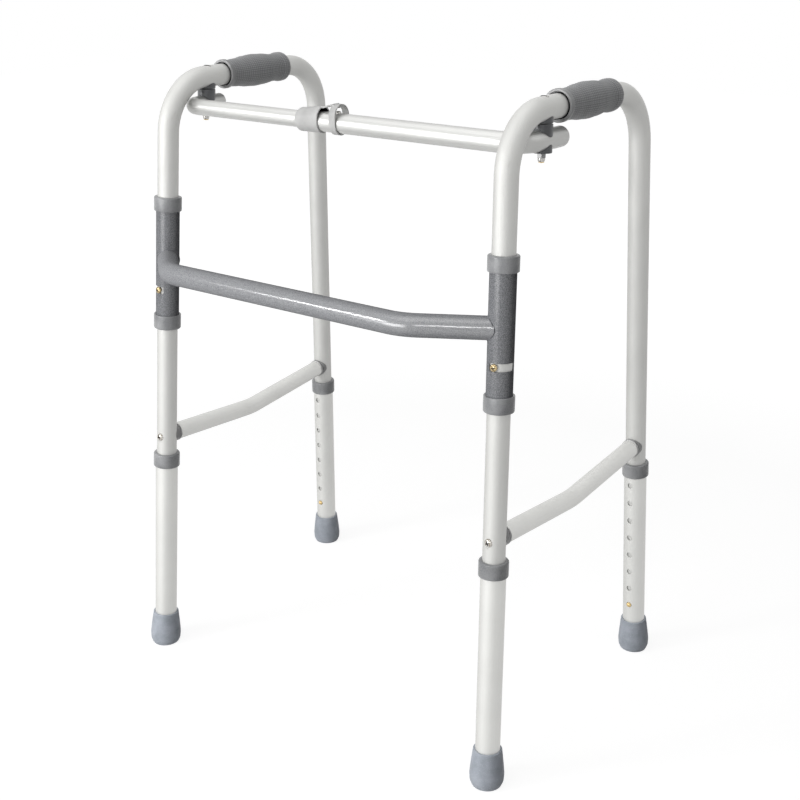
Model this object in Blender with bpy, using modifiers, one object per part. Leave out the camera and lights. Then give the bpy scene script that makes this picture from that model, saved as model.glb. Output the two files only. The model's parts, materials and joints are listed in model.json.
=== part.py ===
# Folding walking frame with two hand grips, height-adjustable legs and a telescoping upper bar.
# Metres. X runs across the frame, Y from the front to the open rear, Z up. The origin lies on
# the floor under the middle of the frame.
import math

import bmesh
import bpy
from mathutils import Matrix, Vector

# Stance
FRONT_WIDTH = 0.5213  # between the front leg axes at the floor
SIDE_DEPTH = 0.3657  # front to rear leg axis at the floor, along a side frame
SIDE_FLARE = math.radians(1.4)  # each side frame opens outwards to the rear by this much
SIDE_LEAN = math.radians(2.17)  # each side frame leans inwards to the top by this much
LEG_SPLAY = math.radians(3.25)  # each leg leans towards the middle of its side frame
HANDLE_HEIGHT = 0.750  # axis of the top tube
TOP_BEND_RADIUS = 0.0635
FRAME_TUBE_RADIUS = 0.0127
FRAME_TUBE_WALL = 0.0012
FRAME_TUBE_END = 0.050  # lower end of the frame tube inside the lower leg

# Lower legs, collars and feet, measured along the leg from the floor
LOWER_TUBE_RADIUS = 0.0143
LOWER_TUBE_WALL = 0.0012
COLLAR_HEIGHT = 0.0182
UPPER_COLLAR_HEIGHT = 0.0172  # at the tops of the sleeves
COLLAR_RADIUS = 0.0168
COLLAR_LIP = 0.0017
HOLE_COUNT = 8
HOLE_PITCH = 0.0254
LOWEST_HOLE = 0.0722
HOLE_RADIUS = 0.0037
COLLAR_ABOVE_HOLES = 0.0295  # from the highest hole to the top of the leg's collar
LEG_COLLAR_TOP = LOWEST_HOLE + (HOLE_COUNT - 1) * HOLE_PITCH + COLLAR_ABOVE_HOLES
BUTTON_RADIUS = 0.0034
BUTTON_STAND = 0.0024  # how far a button's dome stands out of the lower leg
FOOT_HEIGHT = 0.0452
FOOT_SOLE = 0.010
FOOT_RADIUS = 0.0202
FOOT_RIM_RADIUS = 0.0167
FOOT_BULGE_HEIGHT = 0.0130

# Sleeves and lower crossbar
SLEEVE_RADIUS = 0.0143
SLEEVE_WALL = 0.0012
CROSSBAR_HEIGHT = 0.537  # above the floor
SLEEVE_BELOW_BAR = 0.088
SLEEVE_ABOVE_BAR = 0.078
SLEEVE_LOW = CROSSBAR_HEIGHT - SLEEVE_BELOW_BAR
SLEEVE_HIGH = CROSSBAR_HEIGHT + SLEEVE_ABOVE_BAR
CROSSBAR_RADIUS = 0.0127
CROSSBAR_WALL = 0.0015
CROSSBAR_BOW = 0.051  # how far the middle stands ahead of the leg axes
CROSSBAR_CORNERS = (-0.186, 0.151)  # where its two bends lie across the frame
CROSSBAR_BENDS = (0.042, 0.065)
WELD_WIDTH = 0.010
WELD_LENGTH = 0.018
SLOT_HEIGHT = 0.009
SLOT_BELOW_BAR = 0.0375
SLOT_LEVEL = CROSSBAR_HEIGHT - SLOT_BELOW_BAR
STOP_ANGLE = math.radians(5)  # stop screw at rest, outwards from straight ahead
LEFT_FOLD = math.radians(88)
RIGHT_FOLD = math.radians(64)
STOP_SCREW_RADIUS = 0.0022
STOP_HEAD_RADIUS = 0.0042
STOP_HEAD_HEIGHT = 0.0024

# Side rails
RAIL_ABOVE_COLLAR = 0.0242
RAIL_HEIGHT = LEG_COLLAR_TOP + RAIL_ABOVE_COLLAR
RAIL_DIP = 0.0142
RAIL_RADIUS = 0.0110
RAIL_WALL = 0.0012
RAIL_BEND_RADIUS = 0.150
RAIL_SADDLE_RADIUS = 0.0120
RAIL_SADDLE_REACH = 0.0168  # from the leg axis to the saddle's shoulder
RAIL_SADDLE_WRAP = 0.0060  # from the leg axis to the tips of the saddle's ears
RAIL_SPIGOT_LENGTH = 0.016
RAIL_SCREW_RADIUS = 0.0024
RAIL_SCREW_HEAD_RADIUS = 0.00525
RAIL_SCREW_HEAD_HEIGHT = 0.0028
RAIL_SCREW_REACH = 0.026

# Hand grips
GRIP_BEHIND_PIVOT = 0.028
GRIP_LENGTH = 0.1130
GRIP_LIP_RADIUS = 0.0176
GRIP_NECK_RADIUS = 0.0159
GRIP_SWELL_RADIUS = 0.0197
GRIP_WAIST_RADIUS = 0.0170
GRIP_BEAD_RADIUS = 0.0183
GRIP_RECESS_RADIUS = 0.0147
GRIP_RECESS_DEPTH = 0.004

# Upper bar
PIVOT_BEHIND_BEND = 0.006
BAR_DROP = 0.0318  # from the top tube's axis to the bar's axis
BAR_AHEAD = 0.0328  # from the pivots to the bar's long run
INNER_BAR_BEND = 0.020
OUTER_BAR_BEND = 0.032
INNER_BAR_RADIUS = 0.0095
OUTER_BAR_RADIUS = 0.0111
BAR_WALL = 0.00122
INNER_BAR_TAIL = 0.027  # past the left pivot
OUTER_BAR_TAIL = 0.039  # past the right pivot
INNER_BAR_END = 0.030  # inner bar's hidden end, across from the middle of the frame
OUTER_BAR_END = -0.040  # outer bar's end inside the lock, across from the middle
BAR_DOME = 0.0030
BAR_CAP_WALL = 0.002

# Pivots, measured along the pivot axis from the top tube's axis
SADDLE_RADIUS = 0.0108
UPPER_SADDLE_TOP = -0.0055
SADDLE_SPLIT = -0.0141
SADDLE_GAP = 0.0008
LOWER_SADDLE_BOTTOM = -0.0282
BOTTOM_SADDLE_TOP = -0.0345
BOTTOM_SADDLE_FLOOR = 0.0014  # under the bar
BOLT_RADIUS = 0.0025
BOLT_HEAD_RADIUS = 0.0032
BOLT_HEAD_HEIGHT = 0.0022
BOLT_HEAD_SINK = 0.0012  # from the tube's crest down to the head in its access hole
NUT_RADIUS = 0.0049
NUT_HEX_HEIGHT = 0.0048
NUT_HEIGHT = 0.0102

# Centre lock, across from the middle of the frame
LOCK_LEFT = -0.0580
LOCK_MOUTH = -0.024
LOCK_RADIUS = 0.0130
LOCK_RAISE = 0.0040  # the mouth is this much taller than a circle
LOCK_WALL = 0.0015
RING_LEFT = -0.007
RING_RIGHT = 0.0020
RING_RADIUS = 0.0130
RING_INNER_RADIUS = 0.0115
RING_RAISE = 0.0082
STRIP_WIDTH = 0.009
STRIP_THICKNESS = 0.0020
PRESS_PAD_RADIUS = 0.0026
PRESS_PAD_HEIGHT = 0.0032
LOCK_BUTTON_X = -0.003

# Snap clips
CLIP_WIDTH = 0.0070
CLIP_THICKNESS = 0.0007
CLIP_TAIL = 0.010
CLIP_REACH = 0.030
BUTTON_FLANGE_RADIUS = 0.0042
BUTTON_FLANGE_THICKNESS = 0.0013

# Clearances
GAP = 0.0003  # between faces that touch on the real frame
BORE_FIT = 0.0004  # added to the radius of a bore round a tube
HOLE_FIT = 0.0004  # added to the radius of a hole for a screw or a bolt
HINGE_GAP = 0.0006  # between the lock collar's mouth and the release strip

# Facets
TUBE_SIDES = 16
TURN_STEPS = 16
SADDLE_STEPS = 12
COLLAR_STEPS = 14
SMALL_STEPS = 8
HOLE_SIDES = 8
TOP_BEND_STEPS = 5
SMALL_BEND_STEPS = 3

FINISHES = {
    "silver": ((0.66, 0.66, 0.65), 0.85, 0.34),
    "hammertone": ((0.16, 0.165, 0.175), 0.55, 0.42),
    "dark_plastic": ((0.11, 0.115, 0.12), 0.0, 0.55),
    "grip_rubber": ((0.10, 0.105, 0.11), 0.0, 0.75),
    "foot_rubber": ((0.30, 0.33, 0.39), 0.0, 0.70),
    "lock_plastic": ((0.50, 0.51, 0.51), 0.0, 0.50),
    "brass": ((0.72, 0.53, 0.22), 1.0, 0.28),
    "steel": ((0.60, 0.60, 0.60), 1.0, 0.30),
}

SIDES = {"left": -1, "right": 1}
FOLDS = {"left": LEFT_FOLD, "right": RIGHT_FOLD}


def clear_scene():
    for obj in list(bpy.data.objects):
        bpy.data.objects.remove(obj, do_unlink=True)


def new_collection(name):
    collection = bpy.data.collections.new(name)
    bpy.context.scene.collection.children.link(collection)
    return collection


def finish_material(name, finish):
    colour, metallic, roughness = FINISHES[finish]
    material = bpy.data.materials.new(f"{name}_{finish}")
    material.use_nodes = True
    shader = material.node_tree.nodes["Principled BSDF"]
    shader.inputs["Base Color"].default_value = (*colour, 1)
    shader.inputs["Metallic"].default_value = metallic
    shader.inputs["Roughness"].default_value = roughness
    return material


def add_frame(name, matrix, parent=None):
    """An empty that carries parts and marks an axis."""
    empty = bpy.data.objects.new(name, None)
    empty.empty_display_size = 0.03
    parts.objects.link(empty)
    empty.parent = parent
    empty.matrix_local = matrix
    return empty


def add_part(name, mesh, frame, finish, place=None):
    obj = bpy.data.objects.new(name, mesh)
    parts.objects.link(obj)
    obj.parent = frame
    obj.matrix_local = place or Matrix()
    mesh.materials.append(finish_material(name, finish))
    if mesh.polygons:
        mesh.shade_smooth()
        mesh.set_sharp_from_angle(angle=math.radians(40))
    return obj


def add_cutter(name, mesh, frame, place=None):
    obj = bpy.data.objects.new(name, mesh)
    cutters.objects.link(obj)
    obj.parent = frame
    obj.matrix_local = place or Matrix()
    obj.hide_render = True
    obj.display_type = "WIRE"
    return obj


def combine(target, tool, operation="DIFFERENCE"):
    boolean = target.modifiers.new(tool.name, "BOOLEAN")
    boolean.operation = operation
    boolean.solver = "EXACT"
    boolean.object = tool


def facing(direction, origin=(0, 0, 0)):
    """The matrix that turns local Z to a direction and moves the origin."""
    turn = Vector((0, 0, 1)).rotation_difference(Vector(direction))
    return Matrix.Translation(origin) @ turn.to_matrix().to_4x4()


def rod_mesh(name, radius, low, high, sides=TUBE_SIDES):
    """A closed cylinder along Z."""
    mesh = bpy.data.meshes.new(name)
    shape = bmesh.new()
    bmesh.ops.create_cone(
        shape,
        cap_ends=True,
        segments=sides,
        radius1=radius,
        radius2=radius,
        depth=high - low,
        matrix=Matrix.Translation((0, 0, (low + high) / 2)),
    )
    shape.to_mesh(mesh)
    shape.free()
    return mesh


def mesh_of_curve(name, curve):
    """A curve's evaluated surface as a mesh with its caps welded on."""
    guide = bpy.data.objects.new(name, curve)
    bpy.context.scene.collection.objects.link(guide)
    graph = bpy.context.evaluated_depsgraph_get()
    mesh = bpy.data.meshes.new_from_object(guide.evaluated_get(graph))
    bpy.data.objects.remove(guide)
    bpy.data.curves.remove(curve)
    shape = bmesh.new()
    shape.from_mesh(mesh)
    bmesh.ops.remove_doubles(shape, verts=shape.verts, dist=1e-6)
    shape.to_mesh(mesh)
    shape.free()
    mesh.name = name
    return mesh


def tube_mesh(name, path, radius, capped=False, end_scales=()):
    """A round tube along a path. end_scales narrow its last points, as for a domed end."""
    curve = bpy.data.curves.new(name, "CURVE")
    curve.dimensions = "3D"
    curve.bevel_depth = radius
    curve.bevel_resolution = (TUBE_SIDES - 4) // 2
    curve.use_fill_caps = capped
    spline = curve.splines.new("POLY")
    spline.points.add(len(path) - 1)
    for point, place in zip(spline.points, path):
        point.co = (*place, 1)
    for back, scale in enumerate(reversed(end_scales)):
        spline.points[len(path) - 1 - back].radius = scale
    return mesh_of_curve(name, curve)


def slab_mesh(name, outlines, thickness):
    """Flat outlines in XY, filled and given a thickness along Z. A second outline is a hole."""
    curve = bpy.data.curves.new(name, "CURVE")
    curve.dimensions = "2D"
    curve.fill_mode = "BOTH"
    curve.extrude = thickness / 2
    for outline in outlines:
        spline = curve.splines.new("POLY")
        spline.points.add(len(outline) - 1)
        spline.use_cyclic_u = True
        for point, place in zip(spline.points, outline):
            point.co = (place[0], place[1], 0, 1)
    return mesh_of_curve(name, curve)


def turned_part(name, profile, frame, finish, place=None, steps=TURN_STEPS, ring=False):
    """A profile of (radius, height) turned about Z. Its outer side runs from top to bottom."""
    mesh = bpy.data.meshes.new(name)
    edges = [(i, i + 1) for i in range(len(profile) - 1)]
    if ring:
        edges.append((len(profile) - 1, 0))
    mesh.from_pydata([(radius, 0, height) for radius, height in profile], edges, [])
    obj = add_part(name, mesh, frame, finish, place)
    screw = obj.modifiers.new("Turn", "SCREW")
    screw.axis = "Z"
    screw.angle = 2 * math.pi
    screw.steps = steps
    screw.render_steps = steps
    screw.use_merge_vertices = True
    screw.merge_threshold = 1e-5
    screw.use_smooth_shade = True
    return obj


def filleted(corners, radii, steps):
    """A path through the corners, each inner one rounded to its radius."""
    path = [corners[0]]
    for before, corner, after, radius in zip(corners, corners[1:], corners[2:], radii):
        back = (before - corner).normalized()
        ahead = (after - corner).normalized()
        turn = math.pi - back.angle(ahead)
        setback = radius * math.tan(turn / 2)
        centre = corner + (back + ahead).normalized() * radius / math.cos(turn / 2)
        start = corner + back * setback - centre
        end = corner + ahead * setback - centre
        axis = start.cross(end)
        for i in range(steps + 1):
            path.append(centre + Matrix.Rotation(turn * i / steps, 3, axis) @ start)
    path.append(corners[-1])
    return path


def hollow(obj, wall):
    shell = obj.modifiers.new("Wall", "SOLIDIFY")
    shell.thickness = wall
    shell.offset = -1
    shell.use_even_offset = True


def arc(radius, start, end, steps, centre=(0, 0)):
    """Points on a circle from one angle to another."""
    points = []
    for i in range(steps + 1):
        angle = start + (end - start) * i / steps
        points.append(
            (centre[0] + radius * math.cos(angle), centre[1] + radius * math.sin(angle))
        )
    return points


def oblong(radius, raised):
    """A circle whose upper half is lifted, as (across, up) points."""
    half = TURN_STEPS // 2
    upper = arc(radius, 0, math.pi, half, (0, raised))
    return upper + arc(radius, math.pi, 2 * math.pi, half)


def oblong_loft(name, sections):
    """A closed solid along X through oblong sections of (x, radius, raised)."""
    mesh = bpy.data.meshes.new(name)
    shape = bmesh.new()
    rings = []
    for x, radius, raised in sections:
        rings.append([shape.verts.new((x, y, z)) for y, z in oblong(radius, raised)])
    for ring, following in zip(rings, rings[1:]):
        for i in range(len(ring)):
            j = (i + 1) % len(ring)
            shape.faces.new((ring[i], ring[j], following[j], following[i]))
    shape.faces.new(list(reversed(rings[0])))
    shape.faces.new(rings[-1])
    bmesh.ops.recalc_face_normals(shape, faces=shape.faces)
    shape.to_mesh(mesh)
    shape.free()
    return mesh


def strip_outline(path, thickness):
    """The outline of a bent strip of metal about its middle line."""
    outer = []
    inner = []
    for i, point in enumerate(path):
        before = Vector(path[max(i - 1, 0)])
        after = Vector(path[min(i + 1, len(path) - 1)])
        along = (after - before).normalized()
        across = Vector((-along.y, along.x)) * thickness / 2
        outer.append(Vector(point) + across)
        inner.append(Vector(point) - across)
    return outer + inner[::-1]


def side_matrix(side):
    """X across, Y rearwards and Z up along a side frame, from its front leg at the floor."""
    rearwards = Vector((side * math.sin(SIDE_FLARE), math.cos(SIDE_FLARE), 0))
    inwards = Vector((-side * math.cos(SIDE_FLARE), math.sin(SIDE_FLARE), 0))
    up = inwards * math.sin(SIDE_LEAN) + Vector((0, 0, math.cos(SIDE_LEAN)))
    across = rearwards.cross(up)
    matrix = Matrix((across, rearwards, up)).transposed().to_4x4()
    matrix.translation = (side * FRONT_WIDTH / 2, front_leg_y(), 0)
    return matrix


def front_leg_y():
    """Puts the origin midway between the crossbar's front and the rear feet's back."""
    slope = math.cos(SIDE_FLARE) * math.tan(LEG_SPLAY) / math.cos(SIDE_LEAN)
    slope += math.sin(SIDE_FLARE) * math.tan(SIDE_LEAN)
    front = CROSSBAR_BOW + CROSSBAR_RADIUS - CROSSBAR_HEIGHT * slope
    foot_reach = FOOT_RADIUS - FOOT_BULGE_HEIGHT * math.tan(LEG_SPLAY)
    rear = SIDE_DEPTH * math.cos(SIDE_FLARE) + foot_reach
    return (front - rear) / 2


def collar_profile(height=COLLAR_HEIGHT):
    """A ring whose lip closes over the end of the outer tube, from its low edge at 0."""
    bore = LOWER_TUBE_RADIUS + BORE_FIT
    lip_bore = FRAME_TUBE_RADIUS + BORE_FIT
    lip_low = height - COLLAR_LIP
    return [
        (COLLAR_RADIUS - 0.0011, height),
        (COLLAR_RADIUS, height - 0.0013),
        (COLLAR_RADIUS, 0),
        (bore, 0),
        (bore, lip_low),
        (lip_bore, lip_low),
        (lip_bore, height),
    ]


def build_frame_tube(label, side_frame, legs, pivot):
    """The inverted U of a side frame, with the holes for its screws, bolt and buttons.
    Returns the cutter for a seat round it."""
    lean = math.tan(LEG_SPLAY)
    low = FRAME_TUBE_END * math.cos(LEG_SPLAY)
    corners = [
        Vector((0, low * lean, low)),
        Vector((0, HANDLE_HEIGHT * lean, HANDLE_HEIGHT)),
        Vector((0, SIDE_DEPTH - HANDLE_HEIGHT * lean, HANDLE_HEIGHT)),
        Vector((0, SIDE_DEPTH - low * lean, low)),
    ]
    path = filleted(corners, (TOP_BEND_RADIUS, TOP_BEND_RADIUS), TOP_BEND_STEPS)
    name = f"{label}_frame_tube"
    tube = add_part(name, tube_mesh(name, path, FRAME_TUBE_RADIUS), side_frame, "silver")
    hollow(tube, FRAME_TUBE_WALL)
    reach = 2 * FRAME_TUBE_RADIUS
    for end, leg, inwards in legs:
        button_hole = rod_mesh(f"{label}_{end}_button_hole", HOLE_RADIUS, 0, reach, HOLE_SIDES)
        place = facing((0, inwards, 0), (0, 0, LOWEST_HOLE))
        combine(tube, add_cutter(button_hole.name, button_hole, leg, place))
        screw_hole = rod_mesh(
            f"{label}_{end}_rail_screw_hole", RAIL_SCREW_RADIUS + HOLE_FIT, -reach, reach, HOLE_SIDES
        )
        combine(tube, add_cutter(screw_hole.name, screw_hole, side_frame, rail_end(end)))
    bolt_hole = rod_mesh(f"{label}_bolt_hole", BOLT_RADIUS + HOLE_FIT, -reach, 0, HOLE_SIDES)
    combine(tube, add_cutter(bolt_hole.name, bolt_hole, pivot))
    access = rod_mesh(f"{label}_access_hole", BOLT_HEAD_RADIUS + HOLE_FIT, 0, reach, HOLE_SIDES)
    combine(tube, add_cutter(access.name, access, pivot))
    stop_hole = rod_mesh(
        f"{label}_stop_screw_hole", STOP_SCREW_RADIUS + HOLE_FIT, 0, reach, HOLE_SIDES
    )
    combine(tube, add_cutter(stop_hole.name, stop_hole, legs[0][1], stop_screw_place(label)))
    seat = tube_mesh(f"{label}_tube_seat", path, FRAME_TUBE_RADIUS + BORE_FIT, capped=True)
    return add_cutter(seat.name, seat, side_frame)


def rail_end(end):
    """A rail's end on its leg: Z runs from the leg's axis along the rail."""
    lean = RAIL_HEIGHT * math.tan(LEG_SPLAY)
    half = SIDE_DEPTH / 2 - lean
    if end == "front":
        return facing((0, half, -RAIL_DIP), (0, lean, RAIL_HEIGHT))
    return facing((0, -half, -RAIL_DIP), (0, SIDE_DEPTH - lean, RAIL_HEIGHT))


def stop_screw_place(label):
    outwards = SIDES[label]
    direction = (outwards * math.sin(STOP_ANGLE), -math.cos(STOP_ANGLE), 0)
    return facing(direction, (0, 0, SLOT_LEVEL))


def build_side_rail(label, side_frame, legs):
    """The rail between the legs, its saddle plugs and the screws that hold them."""
    front = rail_end("front")
    rear = rail_end("rear")
    start = Vector((0, 0, RAIL_SADDLE_REACH + GAP))
    middle = Vector((0, SIDE_DEPTH / 2, RAIL_HEIGHT - RAIL_DIP))
    path = filleted([front @ start, middle, rear @ start], (RAIL_BEND_RADIUS,), SMALL_BEND_STEPS)
    name = f"{label}_side_rail"
    rail = add_part(name, tube_mesh(name, path, RAIL_RADIUS), side_frame, "silver")
    hollow(rail, RAIL_WALL)
    spigot = RAIL_RADIUS - RAIL_WALL - BORE_FIT
    spigot_end = RAIL_SADDLE_REACH + RAIL_SPIGOT_LENGTH
    saddle_profile = [
        (0, spigot_end),
        (spigot - 0.001, spigot_end),
        (spigot, spigot_end - 0.002),
        (spigot, RAIL_SADDLE_REACH),
        (RAIL_SADDLE_RADIUS - 0.001, RAIL_SADDLE_REACH),
        (RAIL_SADDLE_RADIUS, RAIL_SADDLE_REACH - 0.001),
        (RAIL_SADDLE_RADIUS, RAIL_SADDLE_WRAP),
        (0, RAIL_SADDLE_WRAP),
    ]
    head_low = FRAME_TUBE_RADIUS + GAP
    head_top = head_low + RAIL_SCREW_HEAD_HEIGHT
    screw_profile = [
        (0, head_top),
        (RAIL_SCREW_HEAD_RADIUS * 0.55, head_top - 0.0003),
        (RAIL_SCREW_HEAD_RADIUS * 0.9, head_top - 0.0013),
        (RAIL_SCREW_HEAD_RADIUS, head_top - 0.0024),
        (RAIL_SCREW_HEAD_RADIUS, head_low),
        (RAIL_SCREW_RADIUS, head_low),
        (RAIL_SCREW_RADIUS, -RAIL_SCREW_REACH),
        (0, -RAIL_SCREW_REACH - 0.001),
    ]
    half_turn = Matrix.Rotation(math.pi, 4, "X")
    for end, leg, _ in legs:
        place = rail_end(end)
        saddle = turned_part(
            f"{label}_{end}_rail_saddle", saddle_profile, side_frame, "dark_plastic", place
        )
        seat_low = RAIL_HEIGHT - 2 * RAIL_SADDLE_REACH
        seat_high = RAIL_HEIGHT + 2 * RAIL_SADDLE_REACH
        seat = rod_mesh(
            f"{label}_{end}_rail_seat", FRAME_TUBE_RADIUS + BORE_FIT, seat_low, seat_high
        )
        combine(saddle, add_cutter(seat.name, seat, leg))
        pilot = rod_mesh(
            f"{label}_{end}_rail_pilot",
            RAIL_SCREW_RADIUS + HOLE_FIT,
            0,
            RAIL_SCREW_REACH + 0.003,
            HOLE_SIDES,
        )
        combine(saddle, add_cutter(pilot.name, pilot, side_frame, place))
        turned_part(
            f"{label}_{end}_rail_screw",
            screw_profile,
            side_frame,
            "steel",
            place @ half_turn,
            SMALL_STEPS,
        )


def build_lower_leg(label, end, leg, inwards):
    """The outer tube that slides on the frame tube, with its row of holes, collar and foot."""
    name = f"{label}_{end}_lower_leg"
    low = FOOT_SOLE + GAP
    high = LEG_COLLAR_TOP - COLLAR_LIP - GAP
    path = [Vector((0, 0, low)), Vector((0, 0, high))]
    tube = add_part(name, tube_mesh(name, path, LOWER_TUBE_RADIUS), leg, "silver")
    hollow(tube, LOWER_TUBE_WALL)
    holes = bpy.data.meshes.new(f"{name}_holes")
    shape = bmesh.new()
    for i in range(HOLE_COUNT):
        centre = (0, inwards * LOWER_TUBE_RADIUS, LOWEST_HOLE + i * HOLE_PITCH)
        bmesh.ops.create_cone(
            shape,
            cap_ends=True,
            segments=HOLE_SIDES,
            radius1=HOLE_RADIUS,
            radius2=HOLE_RADIUS,
            depth=LOWER_TUBE_RADIUS,
            matrix=facing((0, inwards, 0), centre),
        )
    shape.to_mesh(holes)
    shape.free()
    combine(tube, add_cutter(holes.name, holes, leg))
    turned_part(
        f"{label}_{end}_leg_collar",
        collar_profile(),
        leg,
        "dark_plastic",
        Matrix.Translation((0, 0, LEG_COLLAR_TOP - COLLAR_HEIGHT)),
        COLLAR_STEPS,
        ring=True,
    )
    bore = LOWER_TUBE_RADIUS + BORE_FIT
    foot_profile = [
        (0, FOOT_SOLE),
        (bore, FOOT_SOLE),
        (bore, FOOT_HEIGHT),
        (FOOT_RIM_RADIUS, FOOT_HEIGHT),
        (FOOT_RADIUS - 0.0010, FOOT_HEIGHT * 0.55),
        (FOOT_RADIUS, FOOT_BULGE_HEIGHT),
        (FOOT_RADIUS - 0.0007, 0.0042),
        (FOOT_RADIUS - 0.0032, -0.0020),
        (0, -0.0020),
    ]
    foot = turned_part(f"{label}_{end}_foot", foot_profile, leg, "foot_rubber")
    combine(foot, ground)


def button_profile(inside, outside):
    """A domed button on a flange: inside is the flange's height and outside the tube's surface."""
    dome = outside + BUTTON_STAND
    return [
        (0, dome),
        (BUTTON_RADIUS * 0.6, dome - 0.0005),
        (BUTTON_RADIUS, outside),
        (BUTTON_RADIUS, inside + BUTTON_FLANGE_THICKNESS),
        (BUTTON_FLANGE_RADIUS, inside + BUTTON_FLANGE_THICKNESS),
        (BUTTON_FLANGE_RADIUS, inside),
        (0, inside),
    ]


def clip_path(near, far):
    """A bent leaf spring's middle line as (along, across): near leaf, round end, far leaf."""
    middle = (near + far) / 2
    radius = (near - far) / 2
    bend = arc(radius * 0.55, math.pi / 2, -math.pi / 2, 6, (CLIP_REACH, middle))
    return [(-CLIP_TAIL, near), (CLIP_TAIL, near), *bend, (CLIP_TAIL, far), (-CLIP_TAIL, far)]


def build_snap_clip(name, frame, place, bore, surface, finish_spring="steel"):
    """A button and its leaf spring inside a tube. In place, Z runs outwards and X along the tube."""
    inscribed = bore * math.cos(math.pi / TUBE_SIDES)
    flange = math.sqrt(inscribed**2 - BUTTON_FLANGE_RADIUS**2) - GAP - BUTTON_FLANGE_THICKNESS
    turned_part(
        f"{name}_button", button_profile(flange, surface), frame, "brass", place, SMALL_STEPS
    )
    near = flange - GAP - CLIP_THICKNESS / 2
    far = GAP + CLIP_THICKNESS / 2 - math.sqrt(inscribed**2 - (CLIP_WIDTH / 2) ** 2)
    outline = strip_outline(clip_path(near, far), CLIP_THICKNESS)
    stand_up = Matrix.Rotation(math.pi / 2, 4, "X")
    spring = slab_mesh(f"{name}_spring", [outline], CLIP_WIDTH)
    add_part(spring.name, spring, frame, finish_spring, place @ stand_up)


def build_leg_clip(label, end, leg, inwards):
    """The snap clip inside the frame tube: its button shows in the lower leg's lowest hole."""
    across = Vector((0, inwards, 0))
    along = Vector((0, 0, 1))
    axes = Matrix((along, across.cross(along), across)).transposed().to_4x4()
    axes.translation = (0, 0, LOWEST_HOLE)
    bore = FRAME_TUBE_RADIUS - FRAME_TUBE_WALL
    build_snap_clip(f"{label}_{end}_clip", leg, axes, bore, LOWER_TUBE_RADIUS)


def build_grip(label, side_frame, pivot_y):
    """The moulded hand grip on the top tube: lip, neck, swell, waist and bead."""
    bore = FRAME_TUBE_RADIUS + BORE_FIT
    length = GRIP_LENGTH
    profile = [
        (GRIP_RECESS_RADIUS, length),
        (GRIP_BEAD_RADIUS - 0.0015, length - 0.0010),
        (GRIP_BEAD_RADIUS, length - 0.0045),
        (GRIP_BEAD_RADIUS, length - 0.0085),
        (GRIP_WAIST_RADIUS + 0.0004, length - 0.0135),
        (GRIP_WAIST_RADIUS, length - 0.0205),
        (GRIP_SWELL_RADIUS - 0.0005, length * 0.62),
        (GRIP_SWELL_RADIUS, length * 0.49),
        (GRIP_SWELL_RADIUS - 0.0009, length * 0.37),
        (GRIP_NECK_RADIUS + 0.0012, length * 0.24),
        (GRIP_NECK_RADIUS, 0.0070),
        (GRIP_LIP_RADIUS, 0.0055),
        (GRIP_LIP_RADIUS, 0.0010),
        (GRIP_RECESS_RADIUS, 0),
        (GRIP_RECESS_RADIUS, GRIP_RECESS_DEPTH),
        (bore, GRIP_RECESS_DEPTH),
        (bore, length),
    ]
    place = facing((0, 1, 0), (0, pivot_y + GRIP_BEHIND_PIVOT, HANDLE_HEIGHT))
    turned_part(f"{label}_grip", profile, side_frame, "grip_rubber", place, ring=True)


def build_sleeve(label, leg):
    """The crossbar's sleeve round a front leg, with its slot, two collars and the stop screw."""
    outwards = SIDES[label]
    name = f"{label}_sleeve"
    low = SLEEVE_LOW + COLLAR_LIP + GAP
    high = SLEEVE_HIGH - COLLAR_LIP - GAP
    path = [Vector((0, 0, low)), Vector((0, 0, high))]
    sleeve = add_part(name, tube_mesh(name, path, SLEEVE_RADIUS), leg, "hammertone")
    hollow(sleeve, SLEEVE_WALL)
    ease = (STOP_SCREW_RADIUS + GAP) / SLEEVE_RADIUS
    ahead = -math.pi / 2
    start = ahead + outwards * STOP_ANGLE
    end = start + outwards * FOLDS[label]
    reach = SLEEVE_RADIUS * 1.4
    sector = [(0, 0), *arc(reach, start, end, 8)]
    if outwards < 0:
        sector.reverse()
    slot = slab_mesh(f"{name}_slot", [sector], SLOT_HEIGHT)
    combine(sleeve, add_cutter(slot.name, slot, leg, Matrix.Translation((0, 0, SLOT_LEVEL))))
    for tag, angle in (("start", start - outwards * ease), ("end", end + outwards * ease)):
        direction = (math.cos(angle), math.sin(angle), 0)
        round_end = rod_mesh(f"{name}_slot_{tag}", SLOT_HEIGHT / 2, 0.004, reach, HOLE_SIDES)
        place = facing(direction, (0, 0, SLOT_LEVEL))
        combine(sleeve, add_cutter(round_end.name, round_end, leg, place))
    upside_down = Matrix.Rotation(math.pi, 4, "X")
    upper_place = Matrix.Translation((0, 0, SLEEVE_HIGH - UPPER_COLLAR_HEIGHT))
    lower_place = Matrix.Translation((0, 0, SLEEVE_LOW + COLLAR_HEIGHT)) @ upside_down
    collars = {
        "upper": (upper_place, UPPER_COLLAR_HEIGHT),
        "lower": (lower_place, COLLAR_HEIGHT),
    }
    for level, (place, height) in collars.items():
        name = f"{label}_{level}_sleeve_collar"
        profile = collar_profile(height)
        turned_part(name, profile, leg, "dark_plastic", place, COLLAR_STEPS, ring=True)
    head_low = SLEEVE_RADIUS + GAP
    head_top = head_low + STOP_HEAD_HEIGHT
    screw_profile = [
        (0, head_top),
        (STOP_HEAD_RADIUS * 0.6, head_top - 0.0003),
        (STOP_HEAD_RADIUS, head_top - 0.0013),
        (STOP_HEAD_RADIUS, head_low),
        (STOP_SCREW_RADIUS, head_low),
        (STOP_SCREW_RADIUS, FRAME_TUBE_RADIUS - 0.006),
        (0, FRAME_TUBE_RADIUS - 0.007),
    ]
    turned_part(
        f"{label}_stop_screw", screw_profile, leg, "brass", stop_screw_place(label), SMALL_STEPS
    )


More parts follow.
